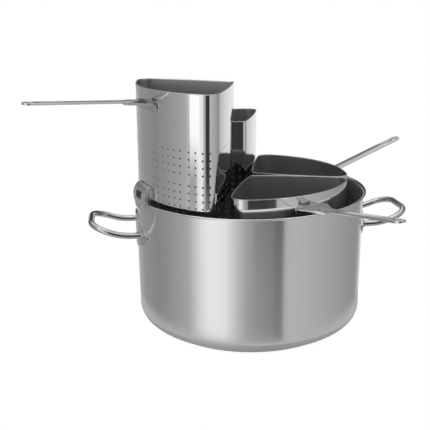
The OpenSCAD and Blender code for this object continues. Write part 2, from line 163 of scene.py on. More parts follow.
class Draft:
    """A mesh in the making, in millimetres."""

    def __init__(self) -> None:
        """Starts with no points and no faces."""
        self.points: list[Point] = []
        self.faces: list[tuple[int, ...]] = []
        self.uvs: list[Flat] = []

    def add_grid(self, rows: Sequence[Sequence[Point]], close_rows: bool = False,
                 close_columns: bool = False, skip: Optional[Callable[[int, int], bool]] = None,
                 uv: Optional[Callable[[Point], Flat]] = None) -> None:
        """Adds a sheet of quads.

        Args:
            rows: Rows of points, all of one length.
            close_rows: Joins the last row to the first.
            close_columns: Joins the last point of each row to its first.
            skip: Says which quad, by row and column, is left out.
            uv: Gives a point's place on the surface in millimetres.
        """
        base, width = len(self.points), len(rows[0])
        for row in rows:
            self.points.extend(row)
            self.uvs.extend(uv(p) if uv else (p[0], p[1]) for p in row)
        for i in range(len(rows) - (0 if close_rows else 1)):
            for j in range(width - (0 if close_columns else 1)):
                if skip and skip(i, j):
                    continue
                k, m = (i + 1) % len(rows), (j + 1) % width
                self.faces.append((base + i * width + j, base + i * width + m,
                                   base + k * width + m, base + k * width + j))

    def to_mesh(self, name: str) -> Mesh:
        """Makes a mesh in metres with merged doubles, outward normals and sharp folds marked.

        Args:
            name: Name of the mesh.

        Returns:
            The mesh.
        """
        mesh = raw_mesh(name, self.points, self.faces)
        layer = mesh.uv_layers.new(name=SURFACE_UV)
        for loop in mesh.loops:
            u, v = self.uvs[loop.vertex_index]
            layer.data[loop.index].uv = (u * MM, v * MM)
        work = bmesh.new()
        work.from_mesh(mesh)
        bmesh.ops.remove_doubles(work, verts=work.verts, dist=MERGE)
        bmesh.ops.dissolve_degenerate(work, dist=SLIVER, edges=work.edges)
        bmesh.ops.recalc_face_normals(work, faces=work.faces)
        work.to_mesh(mesh)
        work.free()
        mesh.shade_smooth()
        mesh.set_sharp_from_angle(angle=SHARP)
        return mesh


def new_object(name: str, data: ID) -> Object:
    """Puts a mesh or other data into the scene as an object at the origin.

    Args:
        name: Name of the object.
        data: What it shows.

    Returns:
        The object.
    """
    thing = bpy.data.objects.new(name, data)
    bpy.context.scene.collection.objects.link(thing)
    return thing


def baked(thing: Object) -> Mesh:
    """Evaluates an object and its modifiers to a plain mesh.

    Args:
        thing: Object with modifiers. It is removed.

    Returns:
        The evaluated mesh.
    """
    graph = bpy.context.evaluated_depsgraph_get()
    graph.update()
    mesh = bpy.data.meshes.new_from_object(thing.evaluated_get(graph))
    bpy.data.objects.remove(thing)
    return mesh


def rounded(mesh: Mesh, width: float, segments: int = 2) -> Mesh:
    """Breaks the sharp edges of a closed mesh.

    Args:
        mesh: Closed mesh.
        width: Width of the rounding in millimetres.
        segments: Faces across the rounding.

    Returns:
        A new mesh.
    """
    thing = new_object("rounding", mesh)
    bevel = thing.modifiers.new("edges", "BEVEL")
    bevel.width, bevel.segments = width * MM, segments
    bevel.limit_method, bevel.angle_limit = "ANGLE", SHARP
    bevel.harden_normals = False
    result = baked(thing)
    result.shade_smooth()
    result.set_sharp_from_angle(angle=SHARP)
    return result


# Finishes

def from_axis(nodes: Nodes, coords: Socket) -> tuple[Socket, Socket]:
    """Measures how far a place is from the pot's axis.

    Args:
        nodes: Nodes of the material.
        coords: The place.

    Returns:
        The place with no height, and its distance from the axis.
    """
    flat = nodes.add("ShaderNodeVectorMath", {0: coords, 1: (1, 1, 0)}, operation="MULTIPLY")[0]
    return flat, nodes.add("ShaderNodeVectorMath", {0: flat}, operation="LENGTH")["Value"]


@dataclass(frozen=True)
class MetalFinish:
    """A bare metal surface: what it is and what its working gives the eye."""

    name: str
    colour: str
    roughness: float
    roughness_spread: float = 0.04
    anisotropy: float = 0.0
    # a quarter turn: lines that run round the pot blur what it mirrors up and down, not sideways
    anisotropic_turn: float = 0.25
    grain: Grain = Grain.NONE
    grain_mm: float = 1.2
    grain_run_mm: float = 60.0
    grain_depth_mm: float = 0.002
    grain_strength: float = 0.6
    wave_mm: float = 60.0
    wave_depth_mm: float = 0.0
    # range of the two noises' sum that spreads the roughness and the shade
    noise_low: float = 0.6
    noise_high: float = 1.4
    shade_low: float = 0.95
    polish_above_mm: Optional[float] = None
    polish_blend_mm: float = 1.0
    polish_share: float = 0.55
    inner_roughness: Optional[float] = None
    inside_radius_mm: Optional[float] = None
    # painted shade: share of the colour left on the cut edges, partly their own duller grey and
    # partly painted shade; the inner side of the pot and the inserts is darkened half as much, as
    # painted shade
    inside_painted_shade: float = 0.7

    def material(self) -> Material:
        """Builds the material from procedural nodes.

        Returns:
            The material.
        """
        material = bpy.data.materials.new(self.name)
        material.use_nodes = True
        nodes = Nodes(material.node_tree)
        coords = nodes.add("ShaderNodeTexCoord")["Object"]
        grain = nodes.add("ShaderNodeTexNoise", {
            "Vector": self._grain_place(nodes, coords), "Scale": 1.0, "Detail": 3.0,
            "Roughness": 0.6})[0]
        cloud = nodes.add("ShaderNodeTexNoise", {
            "Vector": coords, "Scale": 1 / (self.wave_mm * MM), "Detail": 2.0})[0]
        mixed = nodes.add("ShaderNodeMath", {0: grain, 1: cloud}, operation="ADD")[0]
        rough = self._spread(nodes, mixed, self.roughness - self.roughness_spread,
                             self.roughness + self.roughness_spread)
        shade = self._spread(nodes, mixed, self.shade_low, 1.0)
        if self.polish_above_mm is not None:
            height = nodes.add("ShaderNodeSeparateXYZ", {0: coords})[2]
            top = nodes.add("ShaderNodeMapRange", {
                0: height, 1: self.polish_above_mm * MM, 3: 1.0, 4: self.polish_share,
                2: (self.polish_above_mm + self.polish_blend_mm) * MM})[0]
            rough = nodes.add("ShaderNodeMath", {0: rough, 1: top}, operation="MULTIPLY")[0]
        if self.inner_roughness is not None:
            inner = self._inner_side(nodes, coords)
            rough = nodes.add("ShaderNodeMix", {0: inner, 2: rough, 3: self.inner_roughness})[0]
            # painted shade: darkens the inner side, and the cut edges twice as much
            painted_shade = nodes.add("ShaderNodeMapRange",
                             {0: inner, 1: 0.0, 2: 2.0, 3: 1.0, 4: self.inside_painted_shade})[0]
            shade = nodes.add("ShaderNodeMath", {0: shade, 1: painted_shade}, operation="MULTIPLY")[0]
        fill = nodes.add("ShaderNodeCombineColor", {0: shade, 1: shade, 2: shade})[0]
        tint = nodes.add("ShaderNodeMix", {0: 1.0, 6: linear(self.colour), 7: fill},
                         data_type="RGBA", blend_type="MULTIPLY")[2]
        normal = nodes.add("ShaderNodeBump", {
            "Height": grain, "Strength": self.grain_strength,
            "Distance": self.grain_depth_mm * MM})[0]
        if self.wave_depth_mm:
            normal = nodes.add("ShaderNodeBump", {
                "Height": cloud, "Strength": 1.0, "Distance": self.wave_depth_mm * MM,
                "Normal": normal})[0]
        inputs = {"Base Color": tint, "Metallic": 1.0, "Roughness": rough, "Normal": normal,
                  "Anisotropic": self.anisotropy}
        if self.anisotropy:
            inputs["Anisotropic Rotation"] = self.anisotropic_turn
            inputs["Tangent"] = nodes.add("ShaderNodeTangent", direction_type="RADIAL", axis="Z")[0]
        shader = nodes.add("ShaderNodeBsdfPrincipled", inputs)[0]
        nodes.add("ShaderNodeOutputMaterial", {"Surface": shader})
        return material

    def _spread(self, nodes: Nodes, noise: Socket, low: float, high: float) -> Socket:
        """Spreads the noises' sum over a range of values.

        Args:
            nodes: Nodes of the material.
            noise: Sum of the two noises.
            low: Least value.
            high: Greatest value.

        Returns:
            The value.
        """
        return nodes.add("ShaderNodeMapRange", {
            0: noise, 1: self.noise_low, 2: self.noise_high, 3: low, 4: high})[0]

    def _inner_side(self, nodes: Nodes, coords: Socket) -> Socket:
        """Marks the inner side of the sheet.

        Args:
            nodes: Nodes of the material.
            coords: Place on the piece.

        Returns:
            1 on the inner side, 2 on the cut edges of a sheet's holes, and otherwise 0.
        """
        if self.inside_radius_mm is None:
            return nodes.add("ShaderNodeAttribute", attribute_name=INNER_SIDE)["Fac"]
        radius = from_axis(nodes, coords)[1]
        return nodes.add("ShaderNodeMath", {0: radius, 1: self.inside_radius_mm * MM},
                         operation="LESS_THAN")[0]

    def _grain_place(self, nodes: Nodes, coords: Socket) -> Socket:
        """Stretches the place, so that a noise in it makes the grain lines.

        Args:
            nodes: Nodes of the material.
            coords: Place on the piece.

        Returns:
            The stretched place.
        """
        fine, long = 1 / (self.grain_mm * MM), 1 / (self.grain_run_mm * MM)
        if self.grain is Grain.ROUND:
            flat, radius = from_axis(nodes, coords)
            height = nodes.add("ShaderNodeSeparateXYZ", {0: coords})[2]
            rise = nodes.add("ShaderNodeMath", {0: radius, 1: height}, operation="ADD")[0]
            slow = nodes.add("ShaderNodeVectorMath", {0: flat, "Scale": long}, operation="SCALE")[0]
            fast = nodes.add("ShaderNodeMath", {0: rise, 1: fine}, operation="MULTIPLY")[0]
            lift = nodes.add("ShaderNodeCombineXYZ", {2: fast})[0]
            return nodes.add("ShaderNodeVectorMath", {0: slow, 1: lift}, operation="ADD")[0]
        scale = (fine, fine, fine)
        if self.grain is not Grain.NONE:
            coords = nodes.add("ShaderNodeUVMap", uv_map=SURFACE_UV)[0]
            scale = (long, fine, 1) if self.grain is Grain.ALONG_U else (fine, long, 1)
        return nodes.add("ShaderNodeMapping", {"Vector": coords, "Scale": scale})[0]


# Satin stainless pot wall, brushed round on a lathe: soft upright bands, and a polished lip
POT_FINISH = MetalFinish("satin_stainless_brushed_round", "DDDDDD", 0.18, 0.01, anisotropy=0.85,
                         grain=Grain.ROUND, grain_mm=0.7, grain_run_mm=260, grain_depth_mm=0.0008,
                         wave_mm=120, polish_above_mm=210.5, inner_roughness=0.38,
                         inside_radius_mm=180.6)
# Pressed stainless base cap, bright from the press tool: it mirrors the table
BASE_FINISH = MetalFinish("bright_pressed_stainless", "DBDBDB", 0.18, 0.03, grain=Grain.ROUND,
                          grain_mm=1.5, grain_run_mm=140, wave_mm=80)
# Pressed mounting plate, belt ground: a flat grey sheen
PLATE_FINISH = MetalFinish("belt_ground_stainless_plate", "C7C7C7", 0.17, 0.03, grain=Grain.ALONG_U,
                           grain_mm=0.9, grain_run_mm=50, grain_depth_mm=0.001)
# Drawn and polished stainless rod: thin bright and dark lines along it
ROD_FINISH = MetalFinish("polished_stainless_rod", "C1C1C1", 0.09, 0.02, grain_mm=2.5,
                         grain_depth_mm=0.001)
# Blasted weld bead: matt and slightly rippled
WELD_FINISH = MetalFinish("blasted_weld_bead", "B3B3B2", 0.45, 0.08, grain_mm=0.8,
                          grain_depth_mm=0.03)
# Thin rolled stainless sheet, bright: mirror-like, a little wavy from rolling and punching
INSERT_FINISH = MetalFinish("bright_rolled_stainless_sheet", "DDDDDD", 0.07, 0.02,
                            grain=Grain.ALONG_U, grain_mm=1.4, grain_run_mm=70,
                            grain_depth_mm=0.001, wave_mm=60, wave_depth_mm=0.03,
                            inner_roughness=0.33)
# Burnished wire-thin edge of the rim: a bright line
EDGE_FINISH = MetalFinish("burnished_stainless_edge", "E5E5E5", 0.16, 0.03, grain_mm=2.0)
# Folded stainless bracket, satin: duller than the sheet round it
BRACKET_FINISH = MetalFinish("satin_folded_stainless", "CECECE", 0.16, 0.03, grain=Grain.ALONG_V,
                             grain_mm=0.8, grain_run_mm=40, grain_depth_mm=0.0008)
# Blasted drain hook: matt, so it blends with the sheet behind it
HOOK_FINISH = MetalFinish("blasted_folded_stainless", "DBDBDB", 0.36, 0.04, grain_mm=1.2)
# Long strip handle, ground lengthwise with broken edges: a fine sheen along its length
HANDLE_FINISH = MetalFinish("lengthwise_ground_stainless_strip", "D7D7D7", 0.2, 0.05,
                            grain=Grain.ALONG_U, grain_mm=0.8, grain_run_mm=80,
                            grain_depth_mm=0.0008)
# Plain rolled aluminium disc, sealed in the base: a dull, even grey
CORE_FINISH = MetalFinish("plain_rolled_aluminium", "D4D5D8", 0.4, 0.05, grain_mm=3)


class Workshop:
    """Keeps one material for each finish, and hands pieces over to the frame."""

    def __init__(self) -> None:
        """Starts with no materials."""
        self._materials: dict[str, Material] = {}

    def material(self, finish: MetalFinish) -> Material:
        """Gives the material of a finish, made on first use.

        Args:
            finish: The finish.

        Returns:
            Its material.
        """
        if finish.name not in self._materials:
            self._materials[finish.name] = finish.material()
        return self._materials[finish.name]

    def deliver(self, name: str, mesh: Mesh, finish: MetalFinish, body: str, slot: Slot,
                nodes: Sequence[str]) -> None:
        """Dresses a finished mesh and hands it to the frame.

        Args:
            name: Name of the piece.
            mesh: Its mesh, in the part's frame.
            finish: Its finish.
            body: CAD body that it rides on.
            slot: Material slot of the record. It is not used.
            nodes: CAD nodes that it stands for.
        """
        mesh.materials.clear()
        mesh.materials.append(self.material(finish))
        piece = new_object(name, mesh)
        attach(piece, body)
        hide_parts(*nodes)
        LOG.info("%s rides on %s and stands for %s", name, body, ", ".join(nodes) or "nothing")


# Pot

@dataclass
class Pot:
    """Deep-drawn pot with its sandwich base."""

    inner_radius: float = 180.0
    sheet: float = 1.2
    height: float = 215.0
    knuckle: float = 22.0
    curl: float = 4.8
    bead: float = 0.9
    base_radius: float = 157.0
    base_height: float = 6.0
    base_sheet: float = 0.8
    base_edge: float = 2.0
    base_chamfer: float = 0.3
    lip_under_angle: float = 106.0
    bead_start_angle: float = -150.0
    turns: int = 256
    knuckle_steps: int = 16
    lip_under_steps: int = 8
    lip_steps: int = 10
    base_outer_steps: int = 6
    base_inner_steps: int = 4

    @property
    def outer_radius(self) -> float:
        """Radius of the wall's outer face."""
        return self.inner_radius + self.sheet

    def revolved(self, name: str, profile: Sequence[Flat]) -> Mesh:
        """Turns a closed profile about the pot's axis.

        Args:
            name: Name of the mesh.
            profile: Points of radius and height, in order.

        Returns:
            The mesh.
        """
        draft = Draft()
        steps = [2 * math.pi * i / self.turns for i in range(self.turns)]
        draft.add_grid([[(r * math.cos(a), r * math.sin(a), z) for r, z in profile] for a in steps],
                       close_rows=True)
        return draft.to_mesh(name)

    def body_profile(self) -> list[Flat]:
        """Draws the section of the pot: underside, knuckle, wall, lip, and back down inside.

        Returns:
            Points of radius and height.
        """
        outer, low, steps = self.outer_radius, self.base_height, self.knuckle_steps
        bend = (outer - self.knuckle, low + self.knuckle)
        lip = (outer + self.curl - self.sheet, self.height - self.curl)
        bead = (lip[0], self.height - self.bead)
        under = arc_points(bend, self.knuckle, -90, 0, steps)
        lip_under = arc_points(lip, self.curl - self.sheet, 180, self.lip_under_angle,
                               self.lip_under_steps)
        roll = arc_points(bead, self.bead, self.bead_start_angle, 90, self.lip_steps)
        lip_over = arc_points(lip, self.curl, 90, 180, self.lip_steps)
        inner = arc_points(bend, self.knuckle - self.sheet, 0, -90, steps)
        return [(0, low), *under, *lip_under, *roll, *lip_over[1:], *inner, (0, low + self.sheet)]

    def base_profile(self) -> list[Flat]:
        """Draws the section of the base's cap.

        Returns:
            Points of radius and height.
        """
        corner = (self.base_radius - self.base_edge, self.base_edge)
        outside = arc_points(corner, self.base_edge, -90, 0, self.base_outer_steps)
        inside = arc_points(corner, self.base_edge - self.base_sheet, 0, -90, self.base_inner_steps)
        lid, cut = self.base_height, self.base_chamfer
        return [(0, 0), *outside, (self.base_radius, lid - cut), (self.base_radius - cut, lid),
                (self.base_radius - self.base_sheet, lid), *inside, (0, self.base_sheet)]

    def dress(self, shop: Workshop) -> None:
        """Builds the pot's body and base, and gives the sealed disc its metal.

        Args:
            shop: Workshop that dresses the pieces.
        """
        for name, profile, finish, slot, node in (
                ("pot_shell", self.body_profile(), POT_FINISH, Slot.POT, "pot_body"),
                ("base_shell", self.base_profile(), BASE_FINISH, Slot.BASE, "base_cap")):
            shop.deliver(name, self.revolved(name, profile), finish, "pot", slot, [node])
        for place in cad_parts["base_core"].material_slots:
            place.material = shop.material(CORE_FINISH)


class Side(Enum):
    """The pot's two side handles."""

    RIGHT = 0
    LEFT = 180


@dataclass
class SideHandle:
    """Bent-rod loop on its lens-shaped mounting plate, with a weld bead round each leg."""

    pot: Pot
    side: Side
    turn: float = 19.0
    rod: float = 9.6
    legs: float = 97.0
    leg_height: float = 158.0
    leg_length: float = 6.0
    rise_radius: float = 100.0
    rise: float = 20.0
    corner: float = 31.0
    plate_length: float = 150.0
    plate_height: float = 54.0
    plate_sheet: float = 2.4
    plate_round_share: float = 0.94
    # depth below the plate's face, and inset from its outline, of the rows round its edge
    plate_edge: tuple[Flat, ...] = ((1.1, 0.0), (0.45, 0.25), (0.12, 0.6), (0.0, 1.2))
    bead_height: float = 2.5
    bead_fill_share: float = 0.95
    bead_spread: float = 1.8
    bead_overlap: float = 0.2
    bead_sink: float = 0.3
    ripple_share: float = 0.12
    ripples: int = 18
    rod_sides: int = 24
    rise_steps: int = 8
    corner_steps: int = 16
    plate_strips: int = 72
    # strips of the plate's flat middle, on each side of its centre line
    plate_flats: int = 4
    bead_around: int = 72
    bead_across: int = 7

    @property
    def face(self) -> float:
        """Radius of the plate's face."""
        return self.pot.outer_radius + self.plate_sheet

    def placed(self, mesh: Mesh) -> Mesh:
        """Turns a mesh drawn at the +X wall to this handle's side."""
        mesh.transform(Matrix.Rotation(math.radians(self.turn + self.side.value), 4, "Z"))
        return mesh

    def path(self) -> list[Vector]:
        """Draws the rod's centre line.

        Returns:
            Points from one leg's root to the other's.
        """
        end, half = self.face + self.leg_length, self.legs / 2
        root = math.sqrt(self.face ** 2 - (half + self.rod) ** 2) - self.plate_sheet / 2
        middle = (end, self.leg_height + self.rise_radius)
        bend = [(x, half, z) for x, z in arc_points(middle, self.rise_radius, -90, -90 + self.rise,
                                                    self.rise_steps)]
        up = (math.cos(math.radians(self.rise)), math.sin(math.radians(self.rise)))
        start = bend[-1]
        corner = [(start[0] + d * up[0], y, start[2] + d * up[1]) for d, y in arc_points(
            (0, half - self.corner), self.corner, 90, 0, self.corner_steps)]
        one = [Vector((root, half, self.leg_height)), *map(Vector, bend), *map(Vector, corner[1:])]
        return one + [Vector((p.x, -p.y, p.z)) for p in reversed(one)]

    def loop_mesh(self, name: str) -> Mesh:
        """Sweeps the rod's section along its centre line.

        Args:
            name: Name of the mesh.

        Returns:
            The mesh.
        """
        path, sides = self.path(), self.rod_sides
        draft, across, rows = Draft(), Vector((0, 0, 1)), []
        for i, point in enumerate(path):
            ahead = (path[min(i + 1, len(path) - 1)] - path[max(i - 1, 0)]).normalized()
            across = (across - ahead * across.dot(ahead)).normalized()
            other = ahead.cross(across)
            rows.append([tuple(point + (across * math.cos(a) + other * math.sin(a)) * self.rod / 2)
                         for a in (2 * math.pi * k / sides for k in range(sides))])
        rows = [[tuple(path[0])] * sides, *rows, [tuple(path[-1])] * sides]
        draft.add_grid(rows, close_columns=True)
        return draft.to_mesh(name)

    def plate_mesh(self, name: str) -> Mesh:
        """Presses a lens-shaped plate to the wall, with rounded edges.

        Args:
            name: Name of the mesh.

        Returns:
            The mesh.
        """
        half_l, half_h = self.plate_length / 2, self.plate_height / 2
        lens = (half_l ** 2 + half_h ** 2) / self.plate_height
        tip = half_l * self.plate_round_share
        edge, flats = [(self.plate_sheet, 0.0), *self.plate_edge], self.plate_flats
        draft, rows, count = Draft(), [], self.plate_strips
        for i in range(count + 1):
            y = tip * math.sin(math.pi * (i / count - 0.5))
            reach = min(half_h - lens + math.sqrt(lens ** 2 - y * y),
                        math.sqrt(max(tip ** 2 - y * y, 0)))
            rim = [(-reach + min(inset, reach), depth) for depth, inset in edge]
            middle = max(reach - edge[-1][1], 0.0)
            line = rim + [(middle * k / flats, 0.0) for k in range(1 - flats, flats)]
            line += [(-z, depth) for z, depth in reversed(rim)]
            rows.append([(math.sqrt((self.face - depth) ** 2 - y * y), y, self.leg_height + z)
                         for z, depth in line])
        draft.add_grid(rows, close_columns=True, uv=lambda p: (p[1], p[2]))
        return draft.to_mesh(name)

    def bead_mesh(self, name: str) -> Mesh:
        """Lays a rippled weld bead in the corner between each leg and the plate.

        Args:
            name: Name of the mesh.

        Returns:
            The mesh.
        """
        draft = Draft()
        inner, outer = self.rod / 2 - self.bead_overlap, self.rod / 2 + self.bead_spread
        height = self.bead_height * self.bead_fill_share
        bends = [math.pi / 2 * j / self.bead_across for j in range(self.bead_across + 1)]
        for half in (-self.legs / 2, self.legs / 2):
            rows = []
            for i in range(self.bead_around):
                a = 2 * math.pi * i / self.bead_around
                ripple = 1 + self.ripple_share * math.sin(self.ripples * a)
                section = [(inner + (outer - inner) * math.sin(b), height * math.cos(b) * ripple)
                           for b in bends]
                row = []
                for r, lift in [*section, (inner, -self.bead_sink)]:
                    y = half + r * math.cos(a)
                    row.append((math.sqrt(self.face ** 2 - y * y) + lift, y,
                                self.leg_height + r * math.sin(a)))
                rows.append(row)
            draft.add_grid(rows, close_rows=True, close_columns=True)
        return draft.to_mesh(name)

    def dress(self, shop: Workshop) -> None:
        """Builds the plate, the loop and the two beads.

        Args:
            shop: Workshop that dresses the pieces.
        """
        side = self.side.name.lower()
        for piece, make, finish, slot, node in (
                ("mounting_plate", self.plate_mesh, PLATE_FINISH, Slot.PLATE, "plate"),
                ("rod_loop", self.loop_mesh, ROD_FINISH, Slot.ROD, "loop"),
                ("weld_beads", self.bead_mesh, WELD_FINISH, Slot.WELD, "welds")):
            name = f"{side}_{piece}"
            shop.deliver(name, self.placed(make(name)), finish, "pot", slot, [f"{side}_{node}"])


# Strainer inserts

@dataclass(frozen=True)
class Arc:
    """One arc of an insert's plan."""

    centre: Vector
    radius: float
    start: float
    sweep: float

    @property
    def length(self) -> float:
        """Length along the arc."""
        return self.radius * math.radians(self.sweep)

    def at(self, run: float, inset: float = 0.0) -> Vector:
        """Finds a point at a length along the arc.

        Args:
            run: Length along the arc.
            inset: How far the point is drawn in.

        Returns:
            The point.
        """
        angle = math.radians(self.start) + run / self.radius
        return self.centre + Vector((math.cos(angle), math.sin(angle))) * (self.radius - inset)


@dataclass
class Plan:
    """Plan of a quarter sector, with its axis of symmetry along +X."""

    arc_radius: float = 166.0
    setback: float = 4.7
    side_radius: float = 670.0
    side_touch: float = 121.0
    side_gap: float = 0.25
    corner_radius: float = 19.5
    apex_radius: float = 6.5
    arcs: list[Arc] = field(default_factory=list)

    def __post_init__(self) -> None:
        """Works out the arcs, counter-clockwise from the start of the outer one."""
        half = math.radians(SECTOR / 2)
        outer = Vector((-self.setback, 0))
        bow = self.side_radius + self.side_gap
        side = Vector((math.cos(half), math.sin(half))) * self.side_touch \
            + Vector((math.cos(half), -math.sin(half))) * bow
        inner = self.side_radius - self.apex_radius
        apex = Vector((side.x - math.sqrt(inner ** 2 - side.y ** 2), 0))
        reach, wide = self.arc_radius - self.corner_radius, self.side_radius - self.corner_radius
        span = (side - outer).length
        along = (reach ** 2 - wide ** 2 + span ** 2) / (2 * span)
        across = math.sqrt(reach ** 2 - along ** 2)
        ahead = (side - outer).normalized()
        corner = outer + ahead * along + Vector((-ahead.y, ahead.x)) * across

        def angle(v: Vector) -> float:
            """Direction of a vector in degrees."""
            return math.degrees(math.atan2(v.y, v.x))

        arc_end, corner_end = angle(corner - outer), angle(corner - side)
        side_end = angle(apex - side)
        low = Vector((1, -1))
        self.arcs = [
            Arc(outer, self.arc_radius, -arc_end, 2 * arc_end),
            Arc(corner, self.corner_radius, arc_end, corner_end - arc_end),
            Arc(side, self.side_radius, corner_end, side_end - corner_end),
            Arc(apex, self.apex_radius, side_end, 360 - 2 * side_end),
            Arc(side * low, self.side_radius, 360 - side_end, side_end - corner_end),
            Arc(corner * low, self.corner_radius, 360 - corner_end, corner_end - arc_end)]

    @property
    def girth(self) -> float:
        """Length once round the plan."""
        return sum(arc.length for arc in self.arcs)

    def outline(self, inset: float, chord: float = 4.0, turn: float = 3.0) -> list[Vector]:
        """Samples the plan.

        Args:
            inset: How far the outline is drawn in.
            chord: Longest chord.
            turn: Most that a chord turns, in degrees.

        Returns:
            Points counter-clockwise, the first one not repeated.
        """
        points = []
        for arc in self.arcs:
            count = max(math.ceil(arc.length / chord), math.ceil(arc.sweep / turn))
            points += [arc.at(arc.length * i / count, inset) for i in range(count)]
        return points

    def curve(self, name: str, inset: float = 0.0) -> Object:
        """Makes the plan a closed curve object, in metres.

        Args:
            name: Name of the object.
            inset: How far the outline is drawn in.

        Returns:
            The curve's object, which the tree that uses it removes.
        """
        points = self.outline(inset)
        curve = bpy.data.curves.new(name, "CURVE")
        curve.dimensions = "3D"
        line = curve.splines.new("POLY")
        line.points.add(len(points) - 1)
        for spot, p in zip(line.points, points):
            spot.co = (p.x * MM, p.y * MM, 0, 1)
        line.use_cyclic_u = True
        return new_object(name, curve)

    def wall_x(self, y: float, out: float = 0.0) -> float:
        """X of the outer arc, grown by out, at a given Y."""
        return math.sqrt((self.arc_radius + out) ** 2 - y * y) - self.setback


class GeometryTree(Nodes):
    """A Geometry Nodes tree with named inputs, ready to be run on an object."""

    def __init__(self, name: str, inputs: dict[str, str]) -> None:
        """Starts a tree.

        Args:
            name: Name of the tree.
            inputs: Type of each named input after the geometry, such as Float.
        """
        super().__init__(bpy.data.node_groups.new(name, "GeometryNodeTree"))
        face = self.tree.interface
        face.new_socket("Geometry", in_out="INPUT", socket_type="NodeSocketGeometry")
        for label, kind in inputs.items():
            face.new_socket(label, in_out="INPUT", socket_type=f"NodeSocket{kind}")
        face.new_socket("Geometry", in_out="OUTPUT", socket_type="NodeSocketGeometry")
        self.entry = self.add("NodeGroupInput")

    def keep(self, shape: Socket, name: str, value: Socket, kind: str, domain: str) -> Socket:
        """Stores a value on the geometry.

        Args:
            shape: The geometry.
            name: Name of the attribute.
            value: The value.
            kind: Type of its data.
            domain: Where it is stored.

        Returns:
            The geometry with the attribute.
        """
        return self.add("GeometryNodeStoreNamedAttribute",
                        {"Geometry": shape, "Name": name, "Value": value},
                        data_type=kind, domain=domain)[0]

    def thicken(self, skin: Socket) -> Socket:
        """Closes a skin that faces outwards into a shell of the sheet's thickness.

        Args:
            skin: The outer skin.

        Returns:
            The closed shell.
        """
        depth = self.add("ShaderNodeMath", {0: self.entry["Sheet"], 1: -1.0},
                         operation="MULTIPLY")[0]
        inner = self.add("GeometryNodeExtrudeMesh",
                         {"Mesh": skin, "Individual": False, "Offset Scale": depth}, mode="FACES")
        # 1 on the inner side and 2 on the cut edges, as the finish reads it
        cut = self.add("ShaderNodeMath", {0: inner["Side"], 1: 2.0}, operation="MULTIPLY")[0]
        side = self.add("ShaderNodeMath", {0: inner["Top"], 1: cut}, operation="ADD")[0]
        marked = self.keep(inner["Mesh"], INNER_SIDE, side, "FLOAT", "FACE")
        turned = self.add("GeometryNodeFlipFaces", {"Mesh": marked})[0]
        both = self.add("GeometryNodeJoinGeometry", {0: [skin, turned]})[0]
        return self.add("GeometryNodeMergeByDistance", {"Geometry": both, "Distance": MERGE})[0]

    def finish(self, result: Socket) -> None:
        """Shades the result, gives it its finish and ends the tree.

        Args:
            result: The geometry.
        """
        bend = self.add("GeometryNodeInputMeshEdgeAngle")[0]
        sharp = self.add("FunctionNodeCompare", {0: bend, 1: SHARP}, data_type="FLOAT",
                         operation="GREATER_THAN")[0]
        smooth = self.add("GeometryNodeSetShadeSmooth", {"Geometry": result})[0]
        marked = self.keep(smooth, "sharp_edge", sharp, "BOOLEAN", "EDGE")
        real = self.add("GeometryNodeRealizeInstances", {"Geometry": marked})[0]
        dressed = self.add("GeometryNodeSetMaterial",
                           {"Geometry": real, "Material": self.entry["Finish"]})[0]
        self.add("NodeGroupOutput", {0: dressed})

    def run(self, mesh: Mesh, values: dict[str, object]) -> Mesh:
        """Runs the tree on a mesh.

        Args:
            mesh: Input geometry.
            values: Value of each named input. Objects among them are helpers, and are removed.

        Returns:
            The result as a plain mesh.
        """
        thing = new_object("blank", mesh)
        modifier = thing.modifiers.new("tree", "NODES")
        modifier.node_group = self.tree
        for item in self.tree.interface.items_tree:
            if item.in_out == "INPUT" and item.name in values:
                modifier[item.identifier] = values[item.name]
        thing.update_tag()
        result = baked(thing)
        for helper in (v for v in values.values() if isinstance(v, Object)):
            bpy.data.objects.remove(helper)
        return result


@dataclass
class Perforation:
    """Groups of punched holes, as the wall and the floor carry them."""

    hole: float = 2.9
    pitch: float = 10.8
    step: float = 14.8
    row_pitch: float = 10.6
    row_step: float = 16.4
    per_group: int = 4
    row_groups: int = 2
    floor_groups: int = 4
    first_row: float = 5.7
    first_column: float = 8.4

    @property
    def group(self) -> float:
        """Length from one group to the next, along the plan and on the floor."""
        return (self.per_group - 1) * self.pitch + self.step

    def columns(self, plan: Plan) -> list[float]:
        """Places the columns along the plan.

        Args:
            plan: The insert's plan.

        Returns:
            Lengths along the plan, in order.
        """
        start = plan.arcs[0].length / 2 - self.first_column
        return sorted((start + g * self.group + k * self.pitch) % plan.girth
                      for g in range(int(plan.girth // self.group)) for k in range(self.per_group))

    def rows(self) -> list[float]:
        """Places the rows up the wall.

        Returns:
            Heights above the insert's foot.
        """
        length = (self.per_group - 1) * self.row_pitch + self.row_step
        return [self.first_row + g * length + k * self.row_pitch
                for g in range(self.row_groups) for k in range(self.per_group)]

    def floor_spots(self, plan: Plan, margin: float) -> list[Point]:
        """Centres of the floor's holes.

        Args:
            plan: The insert's plan.
            margin: Least distance from the plan's outline.

        Returns:
            Hole centres.
        """
        lines = [(g - self.floor_groups / 2) * self.group + k * self.pitch + self.step / 2
                 for g in range(self.floor_groups) for k in range(self.per_group)]
        outline = plan.outline(margin)
        sides = list(zip(outline, outline[1:] + outline[:1]))
        middle = (plan.arc_radius - plan.setback) / 2
        # a spot is inside when a line from it towards +X crosses the outline an odd number of times
        return [(x + middle, y, 0.0) for x in lines for y in lines
                if sum((a.y > y) != (b.y > y)
                       and x + middle < a.x + (b.x - a.x) * (y - a.y) / (b.y - a.y)
                       for a, b in sides) % 2]


